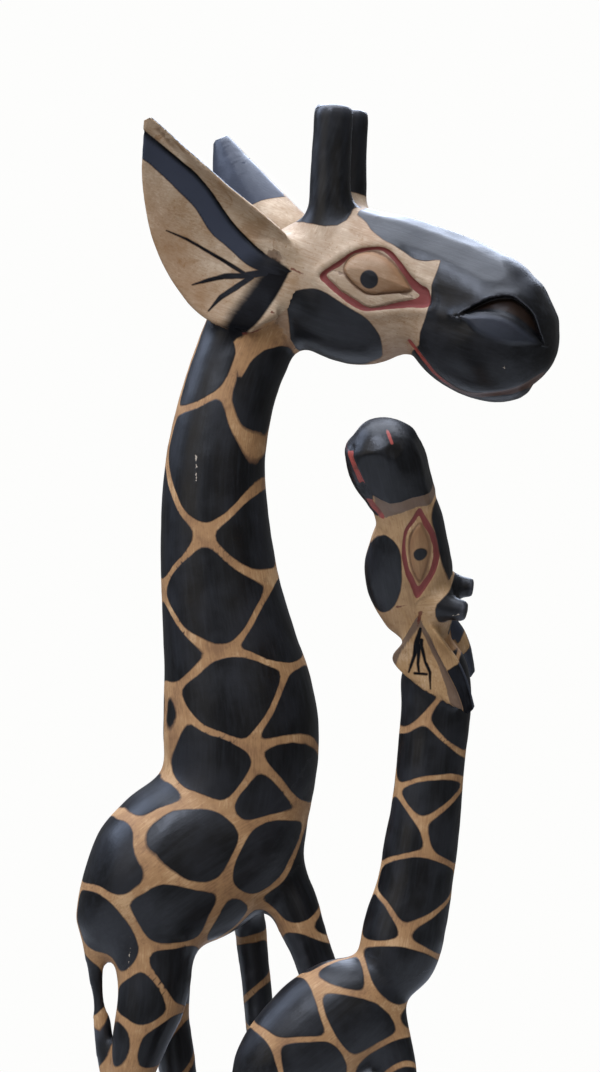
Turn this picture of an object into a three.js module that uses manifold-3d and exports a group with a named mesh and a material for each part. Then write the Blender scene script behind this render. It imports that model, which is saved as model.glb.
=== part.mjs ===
// A carved and painted wooden group: a tall giraffe that turns its head down and aside to the
// calf standing at its right flank, the calf with its head thrown back, both on a low oval base.
// Each animal is one carving. Millimetres, +Z up, bodies facing +X, the calf on the -Y side,
// origin at the centre of the base's underside.
import * as THREE from "three";
import { mergeVertices } from "three/addons/utils/BufferGeometryUtils.js";
import Module from "manifold-3d";

const wasm = await Module();
wasm.setup();

// Driving sizes
const baseLength = 356;
const baseWidth = 256;
const baseThickness = 26;
const baseEdgeRound = 4;
const seatGap = 0.3;
const soleHeight = baseThickness + seatGap;

const vec = (values) => new THREE.Vector3(...values);

// A closed geometry as a solid, turned inside out first where its placing matrix mirrors it.
function solidOf(geometry, matrix = new THREE.Matrix4()) {
  const shape = geometry.index ? geometry.toNonIndexed() : geometry.clone();
  shape.deleteAttribute("normal");
  shape.deleteAttribute("uv");
  const merged = mergeVertices(shape.applyMatrix4(matrix), 1e-3);
  const corners = new Uint32Array(merged.index.array);
  if (matrix.determinant() < 0) {
    for (let i = 0; i < corners.length; i += 3) {
      [corners[i + 1], corners[i + 2]] = [corners[i + 2], corners[i + 1]];
    }
  }
  const mesh = new wasm.Mesh({
    numProp: 3,
    vertProperties: merged.attributes.position.array,
    triVerts: corners,
  });
  return new wasm.Manifold(mesh);
}

// A solid's faces as a geometry for a mesh.
function geometryOf(solid) {
  const mesh = solid.getMesh();
  const places = new Float32Array(mesh.numVert * 3);
  for (let i = 0; i < mesh.numVert; i++) {
    const start = i * mesh.numProp;
    places.set(mesh.vertProperties.subarray(start, start + 3), i * 3);
  }
  const geometry = new THREE.BufferGeometry();
  geometry.setAttribute("position", new THREE.BufferAttribute(places, 3));
  geometry.setIndex(new THREE.BufferAttribute(mesh.triVerts, 1));
  geometry.computeVertexNormals();
  return geometry;
}

// The share of the full girth at share t of a limb's length, where each end closes as a dome.
function domed(t, startDome, endDome) {
  const rise = (x) => Math.sqrt(Math.max(0, 1 - (1 - Math.min(1, x)) ** 2));
  const start = startDome > 0 ? rise(t / startDome) : 1;
  const end = endDome > 0 ? rise((1 - t) / endDome) : 1;
  return Math.max(start * end, 0.02);
}

// A limb: rings round a smooth line. A stop holds x, y, z, the half depth in profile and the
// half width across. squareness above 2 fills the rings' corners.
function limb({ stops, around, along, domes = [0, 0], squareness = 2, tilt = [0, 1, 0] }) {
  const line = new THREE.CatmullRomCurve3(
    stops.map((stop) => vec(stop.slice(0, 3))), false, "catmullrom", 0.5);
  const girth = new THREE.CatmullRomCurve3(
    stops.map((stop) => new THREE.Vector3(stop[3], stop[4], 0)), false, "catmullrom", 0.5);
  const geometry = new THREE.CylinderGeometry(1, 1, 1, around, along);
  const position = geometry.getAttribute("position");
  const place = new THREE.Vector3();
  for (let i = 0; i < position.count; i++) {
    place.fromBufferAttribute(position, i);
    const even = place.y + 0.5;
    const t = (1 - Math.cos(Math.PI * even)) / 2 * 0.5 + even * 0.5;
    const reach = Math.hypot(place.x, place.z);
    const turn = Math.atan2(place.x, place.z);
    const ahead = line.getTangent(t);
    const aside = vec(tilt).addScaledVector(ahead, -vec(tilt).dot(ahead)).normalize();
    const over = new THREE.Vector3().crossVectors(aside, ahead);
    const size = girth.getPoint(t).multiplyScalar(reach * domed(t, ...domes));
    const corner = (c) => Math.sign(c) * Math.abs(c) ** (2 / squareness);
    place.copy(line.getPoint(t));
    place.addScaledVector(over, size.x * corner(Math.cos(turn)));
    place.addScaledVector(aside, size.y * corner(Math.sin(turn)));
    position.setXYZ(i, place.x, place.y, place.z);
  }
  return geometry;
}

// An ear: a hollow leaf along +X, its upper rim towards +Y and its hollow facing +Z. A stop
// holds the place along, the lower and upper edges, the hollow's depth and the thickness.
function ear({ stops, around, along, fold }) {
  const edges = new THREE.CatmullRomCurve3(
    stops.map((stop) => vec(stop.slice(0, 3))), false, "catmullrom", 0.5);
  const depths = new THREE.CatmullRomCurve3(
    stops.map((stop) => new THREE.Vector3(stop[3], stop[4], 0)), false, "catmullrom", 0.5);
  const geometry = new THREE.CylinderGeometry(1, 1, 1, around, along);
  const position = geometry.getAttribute("position");
  for (let i = 0; i < position.count; i++) {
    const t = position.getY(i) + 0.5;
    const across = position.getX(i);
    const edge = edges.getPoint(t);
    const depth = depths.getPoint(t);
    const share = (1 - across) / 2;
    const wall = share > fold ? (1 - share) / (1 - fold) : share / fold;
    const hollow = depth.x * (1 - (1 - wall) ** 2);
    position.setXYZ(
      i,
      edge.x,
      edge.y + (edge.z - edge.y) * share,
      position.getZ(i) * depth.y / 2 - hollow,
    );
  }
  return geometry;
}

// A frame whose axes are an animal's nose direction, its left side and its crown.
function headFrame({ at, nose, crown }) {
  const ahead = vec(nose).normalize();
  const left = new THREE.Vector3().crossVectors(vec(crown), ahead).normalize();
  const up = new THREE.Vector3().crossVectors(ahead, left);
  return new THREE.Matrix4().makeBasis(ahead, left, up).setPosition(...at);
}

// The ear of a side: the other ear of an animal can hang differently from the first one.
function earOf({ ear: first, otherEar }, side) {
  return otherEar && otherEar.side === side ? { ...first, ...otherEar } : first;
}

// A frame inside the head: x along the ear, y towards its upper rim, z out of its hollow.
function earFrame({ root, tip, rim }, side) {
  const along = vec(tip).sub(vec(root)).normalize();
  const upward = vec(rim).addScaledVector(along, -vec(rim).dot(along)).normalize();
  const out = new THREE.Vector3().crossVectors(along, upward);
  if (out.y > 0) {
    out.negate();
  }
  const frame = new THREE.Matrix4().makeBasis(along, upward, out).setPosition(...root);
  return side < 0 ? frame : new THREE.Matrix4().makeScale(1, -1, 1).multiply(frame);
}

function ellipsoid(radii, at, turns = [0, 0, 0], detail = [10, 8]) {
  const geometry = new THREE.SphereGeometry(1, ...detail);
  geometry.scale(...radii);
  geometry.applyMatrix4(
    new THREE.Matrix4().makeRotationFromEuler(new THREE.Euler(...turns)).setPosition(...at));
  return geometry;
}

const giraffe = {
  midPlane: 55,
  neck: {
    around: 22, along: 16, domes: [0.08, 0.13],
    stops: [
      [-4, 0, 462, 46, 42], [2, 0, 490, 53, 47], [6.5, 0, 520, 56, 48.5], [7, 0, 548, 57, 48],
      [3.5, 0, 580, 53.5, 45.5], [-2, 0, 612, 48.3, 42], [-8, 0, 648, 43.5, 39],
      [-12, 0, 690, 40, 36.5], [-12.5, 0, 735, 36.5, 34], [-6.3, 0, 775, 34.3, 31.5],
      [3.5, 0, 808, 33.8, 29.5], [17, 0, 838, 35, 28.5], [31, 0, 866, 36, 28], [44, 0, 892, 30, 25],
    ],
  },
  body: {
    around: 22, along: 12, domes: [0.3, 0.3], squareness: 2.2,
    stops: [
      [52, 0, 500, 44, 41], [25, 0, 487, 50, 46], [-2, 0, 474, 57, 49.5], [-28, 0, 459, 61.5, 51],
      [-53, 0, 442, 57, 51], [-77, 0, 422, 47, 46], [-106, 0, 396, 39, 37],
    ],
  },
  head: {
    at: [38.5, 55, 876], nose: [0.816, -0.471, -0.335], crown: [0.255, -0.227, 0.94],
    around: 22, along: 18, domes: [0.2, 0.14], squareness: 2.25,
    stops: [
      [-36, 0, -2, 27, 30], [-12, 0, 0, 35, 35], [12, 0, 4, 43.5, 40], [36, 0, 6.5, 52, 43],
      [60, 0, 10.5, 55.5, 42], [84, 0, 18.3, 49.7, 38.5], [104, 0, 21.5, 45.5, 35.5],
      [122, 0, 20.5, 45.5, 37], [142, 0, 14.5, 49.5, 41.5], [162, 0, 9, 48.5, 43],
      [182, 0, 7.5, 43, 39], [198, 0, 8, 31, 29], [209, 0, 8, 22, 21],
    ],
  },
  ear: {
    around: 12, along: 10, fold: 0.72,
    root: [-5.4, -45.5, -18.5], tip: [-111, -70.5, 80], rim: [0.6, 0.05, 0.8],
    stops: [
      [-20, -14, 20, 3, 18], [-4, -31, 42, 8, 15], [12, -38.5, 50, 14, 11.5], [30, -41.5, 44.5, 17, 9.5],
      [50, -42, 37, 18, 9], [70, -38.7, 29, 17, 8.5], [92, -31.5, 21.5, 14.5, 8],
      [112, -22, 14.7, 11, 7.5], [130, -10, 9, 6.5, 7], [143, -0.7, 4.5, 1.5, 6],
    ],
  },
  otherEar: {
    side: 1, tip: [-106.5, -70.5, 83],
    stops: [
      [-20, -14, 20, 3, 18], [-4, -31, 42, 8, 15], [12, -38.5, 50, 14, 11.5], [30, -41.5, 44.5, 17, 9.5],
      [50, -42, 37, 18, 9], [70, -38.7, 29, 17, 8.5], [92, -31.5, 20.5, 14.5, 8],
      [112, -23, 13.2, 11, 8], [130, -14.5, 6.8, 6.5, 7.5], [142, -9, 2, 2.5, 7],
    ],
  },
  horn: {
    around: 12, along: 5,
    stops: [
      [30, -17, 30, 24, 20], [25, -17.5, 54, 17.5, 17], [18, -17.7, 77, 14.8, 14.8],
      [11, -17.8, 101, 14.5, 14.5], [4, -17.6, 127, 14.4, 14.4],
    ],
  },
  eye: { radii: [21, 7, 11], at: [77, -36, 19.5], turns: [0, 0.05, 0] },
  nostril: { radii: [36, 9, 11], at: [172, -39, 22], turns: [0.35, 0.05, 0.42] },
  legRings: { around: 10, along: 12, domes: [0.06, 0] },
  legs: {
    nearHind: [
      [-54, -9, 450, 36, 28], [-58, -19, 404, 31, 24], [-62, -24, 363, 25.5, 20.5],
      [-69.5, -26, 336, 20.5, 17.5], [-76, -26, 310, 15.5, 15], [-83, -26, 276, 14, 13.5],
      [-90, -26, 240, 14, 13], [-94, -26, 206, 14.5, 13], [-94, -26, 160, 11.5, 11],
      [-92, -26, 114, 10.5, 10.5], [-90, -26, 70, 12, 11.5], [-85, -26, 36, 15, 13],
      [-83, -26, 16, 17, 14],
    ],
    farHind: [
      [-54, 9, 450, 36, 28], [-52, 19, 404, 28, 23], [-44, 24, 361, 18, 17.5],
      [-40.5, 26, 336, 13.8, 14], [-36.6, 26, 308, 14, 14], [-33, 26, 276, 14, 13.5],
      [-31, 26, 240, 14, 13], [-33, 26, 206, 14.5, 13], [-33, 26, 160, 11.5, 11],
      [-30, 26, 114, 10.5, 10.5], [-28, 26, 70, 12, 11.5], [-23, 26, 36, 15, 13],
      [-21, 26, 16, 17, 14],
    ],
    nearFore: [
      [18, -10, 470, 28, 22], [36, -18, 434, 21, 17], [50, -25, 400, 15.5, 15],
      [61, -26, 368, 14.5, 14], [72, -26, 330, 14, 13], [82, -26, 290, 14, 13],
      [90, -26, 248, 14.5, 13.5], [94, -26, 208, 12.5, 12], [96, -26, 160, 10.5, 10.5],
      [97, -26, 110, 10.5, 10.5], [98, -26, 66, 12, 11.5], [103, -26, 34, 15, 13],
      [105, -26, 16, 17, 14],
    ],
    farFore: [
      [4, 10, 472, 26, 22], [13, 19, 433, 16, 16], [18.5, 25, 396, 12, 13],
      [22.5, 25, 362, 11, 12], [26, 25, 325, 11, 11.5], [30, 26, 286, 12, 12],
      [34, 26, 248, 14, 13], [36, 26, 208, 12.5, 12], [37, 26, 160, 10.5, 10.5],
      [38, 26, 110, 10.5, 10.5], [39, 26, 66, 12, 11.5], [44, 26, 34, 15, 13],
      [46, 26, 16, 17, 14],
    ],
  },
  tail: {
    around: 8, along: 10, domes: [0.05, 0.12],
    stops: [
      [-88, 0, 428, 14, 13], [-101, -2, 402, 10, 10], [-99.5, -4, 378, 7.5, 7.5],
      [-96, -6, 350, 7, 7], [-92, -8, 320, 7, 7], [-88, -10, 290, 6.5, 6.5],
      [-86, -11, 262, 6, 6],
    ],
  },
};

const calf = {
  midPlane: -62,
  neck: {
    around: 18, along: 12, domes: [0.16, 0.16],
    stops: [
      [82, 0, 372, 23, 24], [92, 0, 398, 28, 27], [98.5, 0, 424, 28, 26], [105, 0, 450, 25.5, 24.5],
      [109.5, 0, 478, 25, 24], [113.5, 0, 506, 23.8, 23], [117, 0, 540, 23.3, 22.5],
      [120, 0, 572, 24, 22.5], [118.5, 0, 600, 23.5, 22], [112, 0, 628, 20, 20],
    ],
  },
  body: {
    around: 20, along: 11, domes: [0.3, 0.3],
    stops: [
      [96, 0, 392, 28, 25], [78, 0, 380, 33, 30], [60, 0, 367, 39, 33], [42, 0, 354, 40.5, 34],
      [26, 0, 342, 38, 33.5], [11, 0, 330, 34, 31], [-3, 0, 318, 30, 28], [-15, 0, 307, 25, 25],
    ],
  },
  head: {
    at: [106, -62, 626], nose: [-0.289, -0.371, 0.883], crown: [0.873, -0.481, 0.083],
    around: 18, along: 16, domes: [0.14, 0.13], squareness: 2.2,
    stops: [
      [-16, 0, 4, 19, 19], [2, 0, 5.6, 22.9, 22], [18, 0, 4.4, 26.7, 24], [34, 0, 2.8, 29.2, 25],
      [48, 0, 4, 29.5, 25], [62, 0, 7, 26.8, 24], [78, 0, 10.5, 22.8, 21.5],
      [92, 0, 10, 21.3, 20], [106, 0, 8, 22, 20.5], [120, 0, 5, 24.8, 22],
      [134, 0, 3.3, 24.3, 22.3], [146, 0, 4.9, 21.5, 20.3], [155.5, 0, 6, 18.3, 17.5],
    ],
  },
  ear: {
    around: 10, along: 8, fold: 0.75,
    root: [7, -24.5, 1], tip: [-47, -38, 34], rim: [0.4, 0, 0.9],
    stops: [
      [-8, 8, 18.5, 1, 9], [0, -6, 18.5, 3, 9], [6, -19.5, 18.5, 5, 8.5], [20, -19.8, 18, 6, 8.5],
      [32, -15.8, 17.5, 5.5, 8.5], [44, -10, 14.5, 4, 8], [56, -4.5, 9.5, 2.5, 8], [65, 0.5, 5, 1, 7],
    ],
  },
  otherEar: { side: -1, root: [1, -24.5, -3], tip: [-62, -32, 22] },
  horn: {
    around: 10, along: 4,
    stops: [
      [27, -13, 14, 13, 12.5], [23, -14.5, 25, 10.5, 10.5], [20, -15.5, 33, 8, 8],
      [17.5, -16, 41, 7.4, 7.4],
    ],
  },
  eye: { radii: [15, 3, 7], at: [67, -20, 18], turns: [-0.4, 0, 0] },
  legRings: { around: 9, along: 12, domes: [0.06, 0] },
  legs: {
    nearHind: [
      [10, -6, 334, 27, 21], [4, -12, 302, 22.5, 17.5], [-4, -16, 270, 17, 14],
      [-12, -17, 240, 13, 12], [-20, -17, 208, 11, 10.5], [-25, -17, 172, 11, 10],
      [-25, -17, 134, 9, 9], [-23, -17, 98, 8.5, 8.5], [-21, -17, 64, 9.2, 9.2],
      [-17, -17, 34, 11.5, 10.5], [-16, -17, 16, 13, 11.5],
    ],
    farHind: [
      [12, 6, 334, 27, 21], [11, 12, 302, 21, 17], [14, 16, 270, 15, 13.5],
      [18, 17, 240, 12, 11.5], [18, 17, 208, 11, 10.5], [13, 17, 172, 11, 10],
      [14, 17, 134, 9, 9], [17, 17, 98, 8.5, 8.5], [19, 17, 64, 9.2, 9.2],
      [23, 17, 34, 11.5, 10.5], [24, 17, 16, 13, 11.5],
    ],
    nearFore: [
      [73, -7, 378, 22, 18], [84, -12, 347, 16, 14.5], [90, -16, 320, 12.5, 12.5],
      [92, -17, 290, 11.5, 11.5], [94, -17, 250, 10.8, 10.8], [97, -17, 208, 11, 10.8],
      [98, -17, 168, 9.2, 9.2], [98, -17, 124, 8.5, 8.5], [98, -17, 84, 8.5, 8.5],
      [99, -17, 56, 9.2, 9.2], [103, -17, 33, 11.5, 10.5], [104, -17, 16, 13, 11.5],
    ],
    farFore: [
      [59, 7, 372, 22, 18], [66, 13, 341, 14, 14], [69, 16, 312, 12, 12],
      [71, 17, 280, 11, 11], [72, 17, 240, 10.8, 10.8], [73, 17, 200, 11, 10.8],
      [73, 17, 160, 9.2, 9.2], [72, 17, 120, 8.5, 8.5], [72, 17, 84, 8.5, 8.5],
      [73, 17, 56, 9.2, 9.2], [77, 17, 33, 11.5, 10.5], [78, 17, 16, 13, 11.5],
    ],
  },
  tail: {
    around: 8, along: 8, domes: [0.05, 0.12],
    stops: [
      [-10, 0, 322, 9, 9], [-24, 0, 306, 6.5, 6.5], [-29, -2, 282, 5.5, 5.5],
      [-30, -4, 256, 5, 5], [-29, -6, 230, 4.5, 4.5], [-28, -8, 206, 4, 4],
    ],
  },
};

// One animal as one solid: limbs, head, ears and horns joined, nostrils cut, soles cut flat.
function carve(animal) {
  const stand = new THREE.Matrix4().makeTranslation(0, animal.midPlane, 0);
  const face = headFrame(animal.head);
  const mirrored = new THREE.Matrix4().makeScale(1, -1, 1);
  const sideways = (side) => (side < 0 ? face : face.clone().multiply(mirrored));
  const joined = [
    solidOf(limb(animal.neck), stand),
    solidOf(limb(animal.body), stand),
    solidOf(limb(animal.tail), stand),
    solidOf(limb(animal.head), face),
  ];
  for (const stops of Object.values(animal.legs)) {
    joined.push(solidOf(limb({ ...animal.legRings, stops }), stand));
  }
  const cuts = [];
  for (const side of [-1, 1]) {
    joined.push(solidOf(limb(animal.horn), sideways(side)));
    const lobe = earOf(animal, side);
    joined.push(solidOf(ear(lobe), face.clone().multiply(earFrame(lobe, side))));
    const { eye, nostril } = animal;
    joined.push(solidOf(ellipsoid(eye.radii, eye.at, eye.turns), sideways(side)));
    if (nostril) {
      cuts.push(solidOf(ellipsoid(nostril.radii, nostril.at, nostril.turns), sideways(side)));
    }
  }
  const ground = new THREE.BoxGeometry(600, 600, 60).translate(0, 0, soleHeight - 30);
  cuts.push(solidOf(ground));
  const whole = joined.reduce((sum, solid) => sum.add(solid));
  return cuts.reduce((rest, cut) => rest.subtract(cut), whole);
}

// The low base: an oval slab with softened edges.
function ovalBase() {
  const outline = new THREE.Shape();
  outline.absellipse(
    0, 0, baseLength / 2 - baseEdgeRound, baseWidth / 2 - baseEdgeRound, 0, 2 * Math.PI);
  const slab = new THREE.ExtrudeGeometry(outline, {
    depth: baseThickness - 2 * baseEdgeRound,
    bevelThickness: baseEdgeRound,
    bevelSize: baseEdgeRound,
    bevelSegments: 2,
    curveSegments: 26,
  });
  return slab.translate(0, 0, baseEdgeRound);
}

function named(name, geometry, color, roughness) {
  const finish = new THREE.MeshStandardMaterial({ color, roughness, metalness: 0 });
  const mesh = new THREE.Mesh(geometry, finish);
  mesh.name = name;
  return mesh;
}

const group = new THREE.Group();
group.add(named("giraffe", geometryOf(carve(giraffe)), 0x26272a, 0.45));
group.add(named("calf", geometryOf(carve(calf)), 0x26272a, 0.45));
group.add(named("base", ovalBase(), 0x3a2a1e, 0.6));

export default group;
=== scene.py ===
import math
import random

import bmesh
import bpy
import numpy as np
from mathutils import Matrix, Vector, kdtree, noise


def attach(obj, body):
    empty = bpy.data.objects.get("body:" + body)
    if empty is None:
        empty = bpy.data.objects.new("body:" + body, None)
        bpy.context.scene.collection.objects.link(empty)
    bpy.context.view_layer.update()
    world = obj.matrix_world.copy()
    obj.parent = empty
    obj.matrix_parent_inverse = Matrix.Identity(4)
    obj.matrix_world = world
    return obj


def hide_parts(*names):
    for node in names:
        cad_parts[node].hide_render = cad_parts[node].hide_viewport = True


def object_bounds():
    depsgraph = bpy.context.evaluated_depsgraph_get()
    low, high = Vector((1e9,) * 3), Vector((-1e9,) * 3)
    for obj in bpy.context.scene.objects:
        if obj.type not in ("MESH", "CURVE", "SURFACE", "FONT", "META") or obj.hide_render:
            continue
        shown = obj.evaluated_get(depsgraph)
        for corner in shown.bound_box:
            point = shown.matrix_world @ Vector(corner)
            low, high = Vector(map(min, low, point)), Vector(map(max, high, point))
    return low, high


# A carved and painted wooden giraffe with its calf, on a low oval base.
# Measures are in millimetres until a piece is finished, then its mesh is scaled to metres.

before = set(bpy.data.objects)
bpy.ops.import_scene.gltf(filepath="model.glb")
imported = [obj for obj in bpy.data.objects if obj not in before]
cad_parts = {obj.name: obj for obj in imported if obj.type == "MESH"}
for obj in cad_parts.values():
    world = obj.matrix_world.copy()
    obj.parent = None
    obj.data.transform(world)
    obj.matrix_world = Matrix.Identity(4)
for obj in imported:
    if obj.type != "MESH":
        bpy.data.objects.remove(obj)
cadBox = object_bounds()
world = bpy.context.scene.world or bpy.data.worlds.new("studio")
bpy.context.scene.world = world
bpy.context.scene.view_settings.view_transform = "Standard"


def addObject(name, data):
    thing = bpy.data.objects.new(name, data)
    bpy.context.scene.collection.objects.link(thing)
    return thing


shot = {"at": (-0.30575, -1.61799, 0.688), "turn": -12.007, "lens": 79.29, "sensor": 36}

cameraData = bpy.data.cameras.new("camera")
cameraData.lens = shot["lens"]
cameraData.sensor_width = shot["sensor"]
camera = addObject("camera", cameraData)
camera.location = shot["at"]
camera.rotation_euler = (math.radians(90), 0, math.radians(shot["turn"]))
bpy.context.scene.camera = camera


def linear(code):
    values = [int(code[i:i + 2], 16) / 255 for i in (0, 2, 4)]
    return tuple(v / 12.92 if v < 0.04045 else ((v + 0.055) / 1.055) ** 2.4 for v in values) + (1,)


def addNode(tree, kind, inputs=None, **settings):
    node = tree.nodes.new(kind)
    for name, value in settings.items():
        setattr(node, name, value)
    for name, value in (inputs or {}).items():
        socket = node.inputs[name]
        if isinstance(value, bpy.types.NodeSocket):
            tree.links.new(value, socket)
        else:
            socket.default_value = value
    return node


def math2(tree, operation, a, b=0.0, clamp=False):
    return addNode(tree, "ShaderNodeMath", {0: a, 1: b}, operation=operation, use_clamp=clamp).outputs[0]


def plus(tree, a, b):
    return math2(tree, "ADD", a, b)


def minus(tree, a, b):
    return math2(tree, "SUBTRACT", a, b)


def times(tree, a, b, clamp=False):
    return math2(tree, "MULTIPLY", a, b, clamp)


def larger(tree, a, b):
    return math2(tree, "MAXIMUM", a, b)


def ramp(tree, value, low, high, bottom=0.0, top=1.0, smooth=True):
    kind = "SMOOTHSTEP" if smooth else "LINEAR"
    inputs = {"Value": value, "From Min": low, "From Max": high, "To Min": bottom, "To Max": top}
    return addNode(tree, "ShaderNodeMapRange", inputs, interpolation_type=kind).outputs[0]


def blend(tree, share, first, second):
    return addNode(tree, "ShaderNodeMix", {0: share, 6: first, 7: second}, data_type="RGBA").outputs[2]


def speckle(tree, where, scale, detail=2.0, roughness=0.5, stretch=(1, 1, 1), distortion=0.0):
    placed = addNode(tree, "ShaderNodeMapping", {"Vector": where, "Scale": stretch}).outputs[0]
    inputs = {"Vector": placed, "Scale": scale, "Detail": detail, "Roughness": roughness,
              "Distortion": distortion}
    return addNode(tree, "ShaderNodeTexNoise", inputs).outputs[0]


def newFinish(name):
    finish = bpy.data.materials.new(name)
    finish.use_nodes = True
    return finish, finish.node_tree, finish.node_tree.nodes["Principled BSDF"].inputs


studio = {"world": "fdfdfc", "fill": 0.13, "floor": "b8b8b7", "floorHalf": 1.15, "floorRough": 0.9}
lights = {  # where it hangs, what it aims at, its size, power and hue
    "overhead": ((0.05, 0.0, 2.35), (0.0, 0.0, 0.75), 1.7, 64, "e6eeff"),
    "window": ((-0.95, -1.45, 2.35), (0.0, 0.0, 0.75), 0.8, 40, "dfe9ff"),
    "left": ((-2.2, -1.2, 1.5), (0.0, 0.0, 0.6), 2.0, 13, "fff3e4"),
    "sky": ((-1.9, 0.9, 2.5), (0.0, 0.0, 0.6), 1.8, 60, "cfdfff"),
    "front": ((0.6, -2.6, 1.9), (0.05, 0.0, 0.7), 2.6, 8, "fff1df"),
    "back": ((0.7, 2.2, 2.6), (0.05, 0.0, 0.7), 2.2, 120, "dbe7ff"),
}


def addLights():
    for name, (at, aim, size, power, hue) in lights.items():
        data = bpy.data.lights.new(name, "AREA")
        data.size = size
        data.energy = power
        data.color = linear(hue)[:3]
        lamp = addObject(name, data)
        lamp.location = at
        lamp.visible_camera = False
        lamp.rotation_euler = (Vector(aim) - Vector(at)).to_track_quat("-Z", "Y").to_euler()
    world.use_nodes = True
    tree = world.node_tree
    tree.nodes.clear()
    path = addNode(tree, "ShaderNodeLightPath")
    strength = ramp(tree, path.outputs["Is Camera Ray"], 0, 1, studio["fill"], 1.0, False)
    sky = addNode(tree, "ShaderNodeBackground", {"Color": linear(studio["world"]), "Strength": strength})
    addNode(tree, "ShaderNodeOutputWorld", {"Surface": sky.outputs[0]})


def addFloor():
    bm = bmesh.new()
    bmesh.ops.create_grid(bm, x_segments=2, y_segments=2, size=studio["floorHalf"])
    mesh = bpy.data.meshes.new("floor")
    bm.to_mesh(mesh)
    bm.free()
    finish, tree, shader = newFinish("floor")
    shader["Base Color"].default_value = linear(studio["floor"])
    shader["Roughness"].default_value = studio["floorRough"]
    mesh.materials.append(finish)
    floor = addObject("floor", mesh)


addLights()
addFloor()
print("camera, light and floor made")

soleHeight = 26.3  # the base and the gap above it
sides = ((-1, "earRight"), (1, "earLeft"))
earScale = 30  # this far off an ear's skin counts as one girth away

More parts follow.
